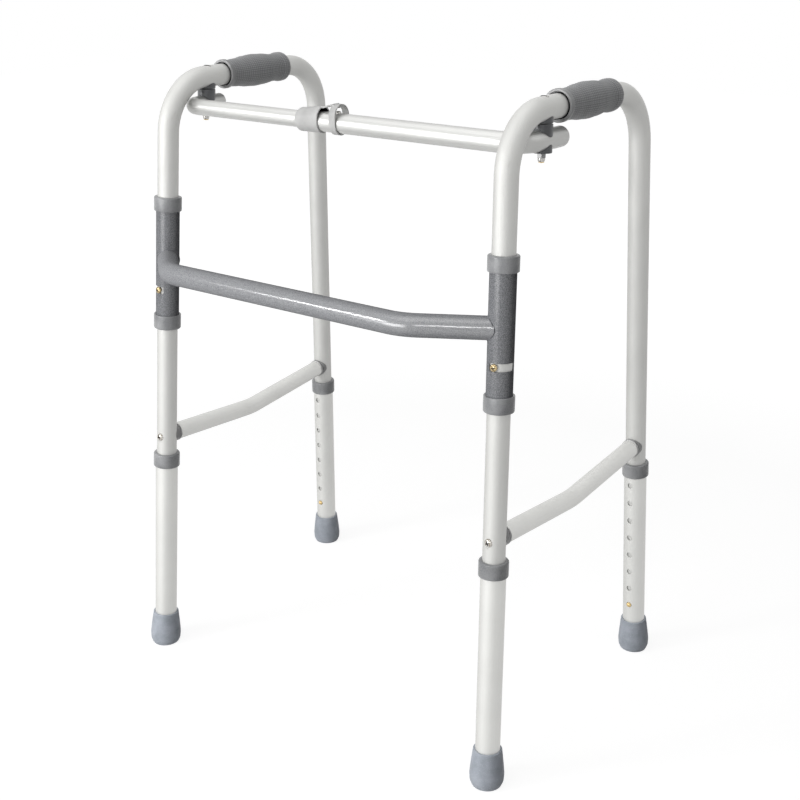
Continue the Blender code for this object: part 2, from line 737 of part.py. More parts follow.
def leg_axis_at(leg, height):
    """Where a leg's axis passes a height above the floor, in the world."""
    matrix = leg.matrix_world
    direction = matrix.col[2].to_3d()
    return matrix.translation + direction * (height / direction.z)


def build_crossbar(front_legs):
    """The bowed tube between the sleeves, its ends cut to fit round them."""
    left = leg_axis_at(front_legs["left"], CROSSBAR_HEIGHT)
    right = leg_axis_at(front_legs["right"], CROSSBAR_HEIGHT)
    ahead = left.y - CROSSBAR_BOW
    corners = [
        left,
        Vector((CROSSBAR_CORNERS[0], ahead, CROSSBAR_HEIGHT)),
        Vector((CROSSBAR_CORNERS[1], ahead, CROSSBAR_HEIGHT)),
        right,
    ]
    path = filleted(corners, CROSSBAR_BENDS, SMALL_BEND_STEPS)
    name = "lower_crossbar"
    bar = add_part(name, tube_mesh(name, path, CROSSBAR_RADIUS), base, "hammertone")
    hollow(bar, CROSSBAR_WALL)
    for label, leg in front_legs.items():
        end, bend = (left, corners[1]) if label == "left" else (right, corners[2])
        along = (bend - end).normalized()
        behind = Vector((-along.y, along.x, 0)) * -SIDES[label]
        centre = end + behind * CROSSBAR_RADIUS * 1.15 + along * SLEEVE_RADIUS * 0.60
        weld = turned_mesh_tool(f"{label}_weld", weld_profile(), base)
        weld.matrix_local = Matrix.Translation(centre)
        combine(bar, weld, "UNION")
        cope = rod_mesh(f"{label}_crossbar_cope", SLEEVE_RADIUS + BORE_FIT, SLEEVE_LOW, SLEEVE_HIGH)
        combine(bar, add_cutter(cope.name, cope, leg))


def bar_level(pivot):
    """Where a pivot's axis crosses the upper bar, in the world."""
    matrix = pivot.matrix_world
    direction = matrix.col[2].to_3d()
    drop = BAR_DROP / math.cos(LEG_SPLAY)
    return matrix.translation - direction * drop


def build_upper_bar(pivots, side_frames):
    """The two telescoping halves of the upper bar, each bent to pass under its top tube.
    Returns the cutter for a seat round each."""
    left = bar_level(pivots["left"])
    right = bar_level(pivots["right"])
    run_y = right.y - BAR_AHEAD
    halves = {
        "inner_bar": (
            "left", left, INNER_BAR_RADIUS, INNER_BAR_BEND, INNER_BAR_TAIL, INNER_BAR_END
        ),
        "outer_bar": (
            "right", right, OUTER_BAR_RADIUS, OUTER_BAR_BEND, OUTER_BAR_TAIL, OUTER_BAR_END
        ),
    }
    seats = {}
    for name, (label, pin, radius, bend, tail, run_end) in halves.items():
        rearwards = side_frames[label].matrix_world.col[1].to_3d()
        corner = pin + rearwards * ((run_y - pin.y) / rearwards.y)
        tip = pin + rearwards * tail
        start = Vector((run_end, run_y, pin.z))
        dome_start = tip - rearwards * BAR_DOME
        dome_steps = [dome_start + rearwards * BAR_DOME * step for step in (0.6, 1)]
        run = filleted([start, corner, dome_start], (bend,), SMALL_BEND_STEPS)
        to_bar = bar_frame.matrix_world.inverted()
        path = [to_bar @ point for point in run + dome_steps]
        mesh = tube_mesh(name, path, radius, capped=True, end_scales=(0.90, 0.66))
        bar = add_part(name, mesh, bar_frame, "silver")
        outside = start + Vector((run_end - pin.x, 0, 0)).normalized() * 0.01
        bore_path = [outside, *run[1:-1], dome_start + rearwards * (BAR_DOME - BAR_CAP_WALL)]
        bore_path = [to_bar @ point for point in bore_path]
        bore = tube_mesh(f"{name}_bore", bore_path, radius - BAR_WALL, capped=True)
        combine(bar, add_cutter(bore.name, bore, bar_frame))
        bolt_hole = rod_mesh(f"{name}_bolt_hole", BOLT_RADIUS + HOLE_FIT, -0.06, -0.01, HOLE_SIDES)
        combine(bar, add_cutter(bolt_hole.name, bolt_hole, pivots[label]))
        hole_x = LOCK_BUTTON_X - bar_frame.matrix_world.translation.x
        button_hole = rod_mesh(f"{name}_button_hole", HOLE_RADIUS, 0.004, 0.02, HOLE_SIDES)
        place = Matrix.Translation((hole_x, -BAR_AHEAD, 0))
        combine(bar, add_cutter(button_hole.name, button_hole, bar_frame, place))
        seat = tube_mesh(f"{name}_seat", path[:-1], radius + BORE_FIT, capped=True)
        seats[label] = add_cutter(seat.name, seat, bar_frame)
    return seats


def saddle_blank(name, low, high, pivot):
    profile = [
        (0, high),
        (SADDLE_RADIUS, high),
        (SADDLE_RADIUS, low),
        (0, low),
    ]
    return turned_part(name, profile, pivot, "dark_plastic", steps=SADDLE_STEPS)


def ear_cutter(label, pivot, bar_radius):
    """Trims the ears over the thinner bar to the curve that they have over the wider one."""
    radius = OUTER_BAR_RADIUS + BORE_FIT
    level = -BAR_DROP / math.cos(LEG_SPLAY) - OUTER_BAR_RADIUS + bar_radius - GAP
    rearwards = (0, math.cos(LEG_SPLAY), math.sin(LEG_SPLAY))
    ears = rod_mesh(f"{label}_saddle_ears", radius, -2 * SADDLE_RADIUS, 2 * SADDLE_RADIUS)
    return add_cutter(ears.name, ears, pivot, facing(rearwards, (0, 0, level)))


def build_pivot(label, pivot, bar_radius, tube_seat, bar_seat):
    """The saddles between top tube and bar, and the bolt and domed nut that clamp them."""
    floor = -BAR_DROP - bar_radius - BOTTOM_SADDLE_FLOOR
    bolt_bore = rod_mesh(f"{label}_saddle_bore", BOLT_RADIUS + HOLE_FIT, -0.06, 0.02, HOLE_SIDES)
    bolt_bore = add_cutter(bolt_bore.name, bolt_bore, pivot)
    saddles = {
        "upper": (SADDLE_SPLIT, UPPER_SADDLE_TOP, tube_seat),
        "lower": (LOWER_SADDLE_BOTTOM, SADDLE_SPLIT - SADDLE_GAP, bar_seat),
        "bottom": (floor, BOTTOM_SADDLE_TOP, bar_seat),
    }
    for level, (low, high, seat) in saddles.items():
        saddle = saddle_blank(f"{label}_{level}_saddle", low, high, pivot)
        combine(saddle, seat)
        combine(saddle, bolt_bore)
        if level == "lower" and bar_radius < OUTER_BAR_RADIUS:
            combine(saddle, ear_cutter(label, pivot, bar_radius))
    head_top = FRAME_TUBE_RADIUS - BOLT_HEAD_SINK
    head_low = head_top - BOLT_HEAD_HEIGHT
    nut_top = floor - GAP
    shank_end = nut_top - NUT_HEX_HEIGHT
    if label == "right":
        shank_end = SADDLE_SPLIT
    bolt_profile = [
        (0, head_top),
        (BOLT_HEAD_RADIUS * 0.6, head_top - 0.0003),
        (BOLT_HEAD_RADIUS, head_low + 0.0004),
        (BOLT_HEAD_RADIUS, head_low),
        (BOLT_RADIUS, head_low),
        (BOLT_RADIUS, shank_end),
        (0, shank_end),
    ]
    turned_part(f"{label}_pivot_bolt", bolt_profile, pivot, "steel", steps=SMALL_STEPS)
    build_nut(label, pivot, nut_top)


def build_nut(label, pivot, top):
    """A domed nut. The right one carries the lower length of its bolt, as that pivot is open."""
    low = top - NUT_HEIGHT
    dome_profile = [
        (0, top - NUT_HEX_HEIGHT + 0.001),
        (NUT_RADIUS * 0.82, top - NUT_HEX_HEIGHT + 0.001),
        (NUT_RADIUS * 0.80, low + 0.0035),
        (NUT_RADIUS * 0.55, low + 0.0010),
        (0, low),
    ]
    name = f"{label}_pivot_nut"
    hexagon = rod_mesh(name, NUT_RADIUS, top - NUT_HEX_HEIGHT, top, 6)
    nut = add_part(name, hexagon, pivot, "steel")
    dome = turned_mesh_tool(f"{name}_dome", dome_profile, pivot)
    combine(nut, dome, "UNION")
    if label == "right":
        stub_top = SADDLE_SPLIT - SADDLE_GAP
        stub = rod_mesh(f"{name}_stub", BOLT_RADIUS, top - 0.001, stub_top, SMALL_STEPS)
        combine(nut, add_cutter(stub.name, stub, pivot), "UNION")
    else:
        thread = rod_mesh(
            f"{name}_thread", BOLT_RADIUS + HOLE_FIT, top - NUT_HEX_HEIGHT - 2 * GAP, top + 0.001, 8
        )
        combine(nut, add_cutter(thread.name, thread, pivot))


def weld_profile():
    half_turn = arc(0.5, math.pi / 2, -math.pi / 2, 4)
    return [(max(across, 0) * WELD_WIDTH, along * WELD_LENGTH) for across, along in half_turn]


def turned_mesh_tool(name, profile, frame):
    """A turned shape used as a tool for a Boolean."""
    tool = turned_part(name, profile, frame, "steel", steps=SMALL_STEPS)
    parts.objects.unlink(tool)
    cutters.objects.link(tool)
    tool.hide_render = True
    tool.display_type = "WIRE"
    return tool


def pivot_height_y():
    """The pivot's place along a side frame at the top tube's axis, just behind the front bend."""
    turn = math.pi / 2 - LEG_SPLAY
    setback = TOP_BEND_RADIUS * math.tan(turn / 2)
    return HANDLE_HEIGHT * math.tan(LEG_SPLAY) + setback + PIVOT_BEHIND_BEND


def build_lock():
    """The collar on the outer bar's end, and the sprung ring that presses the lock button."""
    shift = -bar_frame.matrix_world.translation.x
    to_run = Matrix.Translation((shift, -BAR_AHEAD, 0))
    body = oblong_loft(
        "lock_collar",
        [
            (LOCK_LEFT, LOCK_RADIUS - 0.0025, 0.0004),
            (LOCK_LEFT + 0.0015, LOCK_RADIUS - 0.0007, 0.0006),
            (LOCK_LEFT + 0.0050, LOCK_RADIUS, 0.0008),
            (LOCK_MOUTH, LOCK_RADIUS, LOCK_RAISE),
        ],
    )
    collar = add_part(body.name, body, bar_frame, "lock_plastic", to_run)
    along_x = Matrix.Rotation(math.pi / 2, 4, "Y")
    inner_bore = rod_mesh(
        "lock_inner_bore", INNER_BAR_RADIUS + BORE_FIT, LOCK_LEFT - 0.01, OUTER_BAR_END
    )
    combine(collar, add_cutter(inner_bore.name, inner_bore, bar_frame, to_run @ along_x))
    outer_bore = rod_mesh(
        "lock_outer_bore", OUTER_BAR_RADIUS + BORE_FIT, OUTER_BAR_END - GAP, LOCK_MOUTH + 0.01
    )
    combine(collar, add_cutter(outer_bore.name, outer_bore, bar_frame, to_run @ along_x))
    cavity_left = OUTER_BAR_END + 0.003
    cavity = oblong_loft(
        "lock_cavity",
        [
            (cavity_left, LOCK_RADIUS - LOCK_WALL, LOCK_RAISE),
            (LOCK_MOUTH + 0.01, LOCK_RADIUS - LOCK_WALL, LOCK_RAISE),
        ],
    )
    combine(collar, add_cutter(cavity.name, cavity, bar_frame, to_run))

    ring_middle = (RING_LEFT + RING_RIGHT) / 2
    root = LOCK_MOUTH + HINGE_GAP
    low = LOCK_RADIUS + LOCK_RAISE - STRIP_THICKNESS
    hinge = Matrix.Translation((root, 0, low + STRIP_THICKNESS / 2))
    release_axis = add_frame("release_hinge_axis", to_run @ hinge, bar_frame)
    face_x = Matrix(((0, 0, 1), (1, 0, 0), (0, 1, 0))).to_4x4()
    outlines = [oblong(RING_RADIUS, RING_RAISE), oblong(RING_INNER_RADIUS, RING_RAISE)]
    ring_mesh = slab_mesh("release_ring", outlines, RING_RIGHT - RING_LEFT)
    ring_place = hinge.inverted() @ Matrix.Translation((ring_middle, 0, 0)) @ face_x
    ring = add_part(ring_mesh.name, ring_mesh, release_axis, "lock_plastic", ring_place)
    high_low = RING_INNER_RADIUS + RING_RAISE + 0.0002
    strip = slab_mesh(
        "release_strip",
        [
            [
                (root, low),
                (ring_middle, high_low),
                (ring_middle, high_low + STRIP_THICKNESS),
                (root, low + STRIP_THICKNESS),
            ]
        ],
        STRIP_WIDTH,
    )
    stand_up = Matrix.Rotation(math.pi / 2, 4, "X")
    strip = add_cutter(strip.name, strip, bar_frame, to_run @ stand_up)
    combine(ring, strip, "UNION")
    pad_top = RING_INNER_RADIUS + RING_RAISE
    pad = rod_mesh(
        "release_pad", PRESS_PAD_RADIUS, pad_top - PRESS_PAD_HEIGHT, pad_top + 0.0006, SMALL_STEPS
    )
    pad_place = to_run @ Matrix.Translation((LOCK_BUTTON_X, 0, 0))
    combine(ring, add_cutter(pad.name, pad, bar_frame, pad_place), "UNION")

    upright = to_run @ Matrix.Translation((LOCK_BUTTON_X, 0, 0))
    build_snap_clip(
        "lock", bar_frame, upright, INNER_BAR_RADIUS - BAR_WALL, OUTER_BAR_RADIUS
    )


clear_scene()
parts = new_collection("folding_walking_frame")
cutters = new_collection("cutters")
base = add_frame("walker_base", Matrix())

ground_mesh = bpy.data.meshes.new("ground")
ground_shape = bmesh.new()
bmesh.ops.create_cube(ground_shape, size=1, matrix=Matrix.Translation((0, 0, -0.5)))
ground_shape.to_mesh(ground_mesh)
ground_shape.free()
ground = add_cutter("ground", ground_mesh, base)

side_frames = {}
front_legs = {}
rear_legs = {}
pivots = {}
tilt = Matrix.Rotation(-LEG_SPLAY, 4, "X")
for label, side in SIDES.items():
    side_frame = add_frame(f"{label}_side_axes", side_matrix(side), base)
    side_frames[label] = side_frame
    front_legs[label] = add_frame(f"{label}_fold_axis", tilt, side_frame)
    rear_place = Matrix.Translation((0, SIDE_DEPTH, 0)) @ tilt.inverted()
    rear_legs[label] = add_frame(f"{label}_rear_leg_axis", rear_place, side_frame)
    pivot_place = Matrix.Translation((0, pivot_height_y(), HANDLE_HEIGHT)) @ tilt
    pivots[label] = add_frame(f"{label}_pivot_axis", pivot_place, side_frame)
bpy.context.view_layer.update()
bar_frame = add_frame("bar_swivel_axis", Matrix.Translation(bar_level(pivots["left"])), base)
bpy.context.view_layer.update()

tube_seats = {}
for label, side_frame in side_frames.items():
    legs = [("front", front_legs[label], 1), ("rear", rear_legs[label], -1)]
    tube_seats[label] = build_frame_tube(label, side_frame, legs, pivots[label])
    build_side_rail(label, side_frame, legs)
    build_grip(label, side_frame, pivot_height_y())
    build_sleeve(label, front_legs[label])
    for end, leg, inwards in legs:
        build_lower_leg(label, end, leg, inwards)
        build_leg_clip(label, end, leg, inwards)
build_crossbar(front_legs)
bar_seats = build_upper_bar(pivots, side_frames)
bar_radii = {"left": INNER_BAR_RADIUS, "right": OUTER_BAR_RADIUS}
for label, pivot in pivots.items():
    build_pivot(label, pivot, bar_radii[label], tube_seats[label], bar_seats[label])
build_lock()
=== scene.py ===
import json
import math

import bmesh
import bpy
from mathutils import Matrix, Vector


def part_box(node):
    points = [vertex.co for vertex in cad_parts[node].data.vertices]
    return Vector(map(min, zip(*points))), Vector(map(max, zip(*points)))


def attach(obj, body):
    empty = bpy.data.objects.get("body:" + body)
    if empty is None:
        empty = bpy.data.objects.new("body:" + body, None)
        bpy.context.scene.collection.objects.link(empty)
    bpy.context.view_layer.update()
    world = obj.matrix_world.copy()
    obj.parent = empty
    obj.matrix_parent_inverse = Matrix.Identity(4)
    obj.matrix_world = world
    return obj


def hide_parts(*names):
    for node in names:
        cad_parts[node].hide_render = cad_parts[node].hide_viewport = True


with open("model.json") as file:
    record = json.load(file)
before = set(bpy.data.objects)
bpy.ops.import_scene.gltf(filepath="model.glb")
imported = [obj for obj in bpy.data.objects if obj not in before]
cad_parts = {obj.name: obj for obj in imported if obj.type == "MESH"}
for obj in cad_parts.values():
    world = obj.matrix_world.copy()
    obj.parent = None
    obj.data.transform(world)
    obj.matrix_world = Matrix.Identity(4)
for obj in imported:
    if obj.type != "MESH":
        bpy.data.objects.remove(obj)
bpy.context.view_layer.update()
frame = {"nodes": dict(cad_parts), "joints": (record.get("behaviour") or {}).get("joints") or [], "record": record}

# Folding walking frame: the finished tubes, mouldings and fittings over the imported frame.
# Everything is in metres. left and right are as seen from the front.

joints = {joint["name"]: joint for joint in frame["joints"]}
mounts = {mount["name"]: Vector(mount["pos_m"]) for mount in frame["record"]["mounts"]}
sideSign = {"left": -1, "right": 1}
inwards = {"front": 1, "rear": -1}  # from each leg towards the other, along local Y
clearance = 0.0002  # between pieces that touch on the real frame
sharpEdge = 38  # faces that meet at more than this many degrees show an edge
samePoint = 1e-7  # points closer than this become one


# Making and cutting shapes

def shadeSmooth(mesh, angle=sharpEdge):
    mesh.shade_smooth()
    mesh.set_sharp_from_angle(angle=math.radians(angle))


def newPiece(name, shape, finish=None, angle=sharpEdge):
    bmesh.ops.recalc_face_normals(shape, faces=shape.faces)
    mesh = bpy.data.meshes.new(name)
    shape.to_mesh(mesh)
    shape.free()
    obj = bpy.data.objects.new(name, mesh)
    bpy.context.scene.collection.objects.link(obj)
    if finish:
        mesh.materials.append(finishes[finish])
    shadeSmooth(mesh, angle)
    return obj


def facing(direction, origin):
    # local Z turned to a direction
    turn = Vector((0, 0, 1)).rotation_difference(Vector(direction))
    return Matrix.Translation(origin) @ turn.to_matrix().to_4x4()


def upward(place):
    return place.col[2].to_3d()


def turnSteps(count):
    return [2 * math.pi * step / count for step in range(count)]


def addRings(shape, rings, rowLengths, around):
    # quads between closed rings of points, with a UV map laid out in metres
    uvLayer = shape.loops.layers.uv.verify()
    made = [[shape.verts.new(point) for point in ring] for ring in rings]
    count = len(rings[0])
    for row in range(len(made) - 1):
        for i in range(count):
            j = (i + 1) % count
            face = shape.faces.new((made[row][i], made[row][j], made[row + 1][j], made[row + 1][i]))
            spots = ((i, row), (i + 1, row), (i + 1, row + 1), (i, row + 1))
            for loop, (across, along) in zip(face.loops, spots):
                loop[uvLayer].uv = (across / count * around, rowLengths[along])
    return made


def loft(name, rings, rowLengths, around, finish=None, angle=sharpEdge):
    # a solid through rings, capped at both ends, or joined up where the last ring is the first
    shape = bmesh.new()
    made = addRings(shape, rings, rowLengths, around)
    if rings[0] is rings[-1]:
        bmesh.ops.remove_doubles(shape, verts=shape.verts, dist=samePoint)
    else:
        shape.faces.new(made[0])
        shape.faces.new(made[-1])
    return newPiece(name, shape, finish, angle)


def tubeAlong(name, path, radius, finish=None, wall=0, sides=56, endScales=()):
    # a round tube along a path; endScales narrow its last points into a domed end
    scales = [1] * (len(path) - len(endScales)) + list(endScales)
    lengths = [0]
    for before, after in zip(path, path[1:]):
        lengths.append(lengths[-1] + (after - before).length)
    tangents = []
    for i in range(len(path)):
        ahead = path[min(i + 1, len(path) - 1)] - path[max(i - 1, 0)]
        tangents.append(ahead.normalized())
    normal = tangents[0].orthogonal().normalized()
    outer = []
    inner = []
    for i, (centre, tangent) in enumerate(zip(path, tangents)):
        if i:
            normal = tangents[i - 1].rotation_difference(tangent) @ normal
        other = tangent.cross(normal)
        spokes = [normal * math.cos(turn) + other * math.sin(turn) for turn in turnSteps(sides)]
        outer.append([centre + spoke * radius * scales[i] for spoke in spokes])
        inner.append([centre + spoke * (radius - wall) for spoke in spokes])
    around = 2 * math.pi * radius
    if not wall:
        return loft(name, outer, lengths, around, finish)
    shape = bmesh.new()
    skin = addRings(shape, outer, lengths, around)
    lining = addRings(shape, inner, lengths, around)
    for end in (0, -1):
        for i in range(sides):
            j = (i + 1) % sides
            shape.faces.new((skin[end][i], skin[end][j], lining[end][j], lining[end][i]))
    return newPiece(name, shape, finish)


def turned(name, profile, place, finish=None, sides=56, ring=False, angle=sharpEdge):
    # a profile of (radius, height) turned about the local Z axis of place
    profile = list(profile)
    if ring:
        profile.append(profile[0])
    lengths = [0]
    for (r0, z0), (r1, z1) in zip(profile, profile[1:]):
        lengths.append(lengths[-1] + math.hypot(r1 - r0, z1 - z0))
    rings = []
    for radius, height in profile:
        points = []
        for turn in turnSteps(sides):
            spot = (radius * math.cos(turn), radius * math.sin(turn), height)
            points.append(place @ Vector(spot))
        rings.append(points)
    shape = bmesh.new()
    addRings(shape, rings, lengths, 2 * math.pi * max(radius for radius, _ in profile))
    bmesh.ops.remove_doubles(shape, verts=shape.verts, dist=samePoint)
    bmesh.ops.dissolve_degenerate(shape, edges=shape.edges, dist=1e-8)
    return newPiece(name, shape, finish, angle)


def softened(corners, steps=4, ring=False):
    # (radius, height, rounding) corners as a profile with each corner rounded
    profile = []
    count = len(corners)
    for i, (radius, height, rounding) in enumerate(corners):
        here = Vector((radius, height))
        if rounding == 0 or (not ring and i in (0, count - 1)):
            profile.append((radius, height))
            continue
        back = Vector(corners[i - 1][:2]) - here
        ahead = Vector(corners[(i + 1) % count][:2]) - here
        turn = math.pi - back.angle(ahead)
        setback = min(rounding * math.tan(turn / 2), back.length * 0.49, ahead.length * 0.49)
        start = here + back.normalized() * setback
        end = here + ahead.normalized() * setback
        for step in range(steps + 1):
            share = step / steps
            point = start.lerp(here, share).lerp(here.lerp(end, share), share)
            profile.append((point.x, point.y))
    return profile


def roundedPath(corners, radii, steps):
    # a path through corners, each inner one rounded to its radius
    path = [corners[0]]
    for before, corner, after, radius in zip(corners, corners[1:], corners[2:], radii):
        back = (before - corner).normalized()
        ahead = (after - corner).normalized()
        turn = math.pi - back.angle(ahead)
        setback = radius * math.tan(turn / 2)
        centre = corner + (back + ahead).normalized() * radius / math.cos(turn / 2)
        start = corner + back * setback - centre
        axis = start.cross(corner + ahead * setback - centre)
        for step in range(steps + 1):
            path.append(centre + Matrix.Rotation(turn * step / steps, 3, axis) @ start)
    path.append(corners[-1])
    return path


def withMidpoints(path, longest=0.05):
    # splits long straight runs so that shading and UVs stay even
    fuller = [path[0]]
    for before, after in zip(path, path[1:]):
        parts = max(1, math.ceil((after - before).length / longest))
        fuller += [before.lerp(after, part / parts) for part in range(1, parts + 1)]
    return fuller


def rod(name, place, radius, low, high, sides=32):
    return turned(name, [(0, high), (radius, high), (radius, low), (0, low)], place, None, sides)


def block(name, matrix):
    shape = bmesh.new()
    bmesh.ops.create_cube(shape, size=1, matrix=matrix)
    return newPiece(name, shape)


def carve(obj, tool):
    # cuts the tool out of a piece and writes the result into its mesh
    boolean = obj.modifiers.new("carve", "BOOLEAN")
    boolean.operation = "DIFFERENCE"
    boolean.solver = "EXACT"
    boolean.object = tool
    bpy.context.view_layer.update()
    graph = bpy.context.evaluated_depsgraph_get()
    mesh = bpy.data.meshes.new_from_object(obj.evaluated_get(graph))
    obj.modifiers.remove(boolean)
    mesh.name = obj.name
    obj.data = mesh
    bpy.data.objects.remove(tool)
    shadeSmooth(mesh)


def roundNormals(tube, places, sizes):
    # keeps a cut tube's walls shaded round about the local Z axes of places
    walls = []
    for place in places:
        for radius in (sizes["radius"], sizes["radius"] - sizes["wall"]):
            walls.append((place.translation.copy(), upward(place), radius))
    mesh = tube.data
    normals = [corner.vector.copy() for corner in mesh.corner_normals]
    for face in mesh.polygons:
        for index in face.loop_indices:
            spot = mesh.vertices[mesh.loops[index].vertex_index].co
            for point, direction, radius in walls:
                offset = spot - point
                radial = offset - direction * offset.dot(direction)
                if abs(radial.length - radius) > 0.00008:  # not on this wall
                    continue
                radial.normalize()
                tilt = face.normal.dot(radial)
                if abs(tilt) > 0.93:  # a face of the wall, not of a cut through it
                    normals[index] = radial if tilt > 0 else -radial
    mesh.normals_split_custom_set(normals)


def settle(obj, body, slot, *nodes):
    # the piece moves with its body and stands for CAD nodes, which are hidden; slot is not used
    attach(obj, body)
    if nodes:
        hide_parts(*nodes)


# Finishes

def setSockets(tree, values):
    for socket, value in values.items():
        tree.nodes["Principled BSDF"].inputs[socket].default_value = value


def feed(tree, socket, value):
    tree.links.new(value, tree.nodes["Principled BSDF"].inputs[socket])


def startMaterial(name, colour, metallic, roughness):
    material = bpy.data.materials.new(name)
    material.use_nodes = True
    values = {"Base Color": (*colour, 1), "Metallic": metallic, "Roughness": roughness}
    setSockets(material.node_tree, values)
    return material, material.node_tree


def addNode(tree, kind, **settings):
    # a node with some of its sockets or options set
    node = tree.nodes.new(kind)
    for name, value in settings.items():
        if name in node.inputs:
            node.inputs[name].default_value = value
        else:
            setattr(node, name, value)
    return node


def addNoise(tree, source, scale, detail=3, stretch=(1, 1, 1)):
    # a noise texture over "Object" or "UV" coordinates in metres
    coordinates = addNode(tree, "ShaderNodeTexCoord")
    mapping = addNode(tree, "ShaderNodeMapping", Scale=stretch)
    noise = addNode(tree, "ShaderNodeTexNoise", Scale=scale, Detail=detail)
    tree.links.new(coordinates.outputs[source], mapping.inputs["Vector"])
    tree.links.new(mapping.outputs["Vector"], noise.inputs["Vector"])
    return noise.outputs["Fac"]


def addRamp(tree, value, low, high, start, end):
    # spreads a value between two colours
    ramp = addNode(tree, "ShaderNodeValToRGB")
    for stop, position, colour in zip(ramp.color_ramp.elements, (start, end), (low, high)):
        stop.position = position
        stop.color = (*colour, 1)
    tree.links.new(value, ramp.inputs["Fac"])
    return ramp.outputs["Color"]


def addRange(tree, value, low, high, start=0.3, end=0.7):
    limits = {"From Min": start, "From Max": end, "To Min": low, "To Max": high}
    spread = addNode(tree, "ShaderNodeMapRange", **limits)
    tree.links.new(value, spread.inputs["Value"])
    return spread.outputs["Result"]


def addBump(tree, height, strength, distance, under=None):
    bump = addNode(tree, "ShaderNodeBump", Strength=strength, Distance=distance)
    tree.links.new(height, bump.inputs["Height"])
    if under:
        tree.links.new(under, bump.inputs["Normal"])
    return bump.outputs["Normal"]


def silverTubeFinish(name, colour, metallic, roughness, grit):
    # satin anodised tube: fine drawing lines along it, a sandy grain and slight clouding
    material, tree = startMaterial(name, colour, metallic, roughness)
    drawn = addNoise(tree, "UV", 1, 4, (2600, 24, 1))
    grain = addNoise(tree, "Object", 850, 2)
    cloud = addNoise(tree, "Object", 22, 2)
    dull = [part * 0.97 for part in colour]
    feed(tree, "Roughness", addRange(tree, drawn, roughness - 0.05, roughness + 0.06))
    feed(tree, "Base Color", addRamp(tree, cloud, dull, colour, 0.3, 0.6))
    under = addBump(tree, drawn, 0.10, 0.0001)
    feed(tree, "Normal", addBump(tree, grain, grit, 0.0002, under))
    return material


def hammertoneFinish(name, dark, light, pebble, lacquerRoughness, lacquerIor):
    # hammered enamel: shallow dimples with paler flakes, under a lacquer that is clearest face on
    material, tree = startMaterial(name, light, 0, 0.5)
    lacquer = {"Coat Roughness": lacquerRoughness, "Coat IOR": lacquerIor, "Specular IOR Level": 0}
    setSockets(tree, lacquer)
    dimples = addNoise(tree, "Object", 800, 4)
    flakes = addNoise(tree, "Object", 1300, 2)
    slant = addNode(tree, "ShaderNodeLayerWeight", Blend=0.5).outputs["Facing"]
    feed(tree, "Base Color", addRamp(tree, flakes, dark, light, 0.36, 0.64))
    feed(tree, "Roughness", addRange(tree, dimples, 0.42, 0.60))
    feed(tree, "Coat Weight", addRange(tree, slant, 1, 0, 0.12, 0.34))
    feed(tree, "Coat Normal", addBump(tree, flakes, pebble, 0.0004))
    feed(tree, "Normal", addBump(tree, dimples, 0.36, 0.0006))
    return material


def mouldedFinish(name, dark, light, roughness, grainScale, grainDepth, shine=0.5):
    # moulded plastic: a fine spark-eroded grain with uneven tone
    material, tree = startMaterial(name, light, 0, roughness)
    setSockets(tree, {"Specular IOR Level": shine})
    tone = addNoise(tree, "Object", 55, 4)
    grain = addNoise(tree, "Object", grainScale, 3)
    feed(tree, "Base Color", addRamp(tree, tone, dark, light, 0.32, 0.66))
    feed(tree, "Roughness", addRange(tree, grain, roughness - 0.06, roughness + 0.08))
    feed(tree, "Normal", addBump(tree, grain, 0.35, grainDepth))
    return material


def waffleFinish(name, dark, light, roughness, pitches):
    # soft rubber with rows of small raised squares, at one pitch round it and one along it, painted darker in the
    # grooves as shade
    material, tree = startMaterial(name, light, 0, roughness)
    coordinates = addNode(tree, "ShaderNodeTexCoord")
    squares = addNode(tree, "ShaderNodeMath", operation="MULTIPLY")
    for index, pitch in enumerate(pitches):
        rows = addNode(tree, "ShaderNodeTexWave", bands_direction="XY"[index])
        rows.inputs["Scale"].default_value = math.pi / 10 / pitch
        tree.links.new(coordinates.outputs["UV"], rows.inputs["Vector"])
        tree.links.new(rows.outputs["Fac"], squares.inputs[index])
    relief = squares.outputs[0]
    under = addBump(tree, relief, 0.5, 0.0005)
    # the grooves between the squares are painted darker as shade
    feed(tree, "Base Color", addRamp(tree, relief, dark, light, 0.02, 0.5))
    feed(tree, "Normal", addBump(tree, addNoise(tree, "Object", 1500), 0.3, 0.0002, under))
    return material


def speckledFinish(name, dark, light, fleck, roughness):
    # rubber with pale flecks all through it
    material, tree = startMaterial(name, light, 0, roughness)
    setSockets(tree, {"Sheen Weight": 0.15})
    tone = addNoise(tree, "Object", 90, 4)
    flecks = addNoise(tree, "Object", 1300, 2)
    mix = addNode(tree, "ShaderNodeMix", data_type="RGBA")
    spots = addRamp(tree, flecks, (0, 0, 0), (1, 1, 1), 0.60, 0.72)
    tree.links.new(spots, mix.inputs["Factor"])
    tree.links.new(addRamp(tree, tone, dark, light, 0.3, 0.65), mix.inputs[6])  # first colour
    mix.inputs[7].default_value = (*fleck, 1)  # second colour
    feed(tree, "Base Color", mix.outputs[2])
    feed(tree, "Normal", addBump(tree, flecks, 0.30, 0.0003))
    return material


def polishedFinish(name, colour, dull, roughness):
    material, tree = startMaterial(name, colour, 1, roughness)
    wear = addNoise(tree, "Object", 900)
    feed(tree, "Base Color", addRamp(tree, wear, dull, colour, 0.35, 0.6))
    feed(tree, "Roughness", addRange(tree, wear, roughness * 0.7, roughness * 1.5))
    feed(tree, "Normal", addBump(tree, wear, 0.12, 0.0001))
    return material


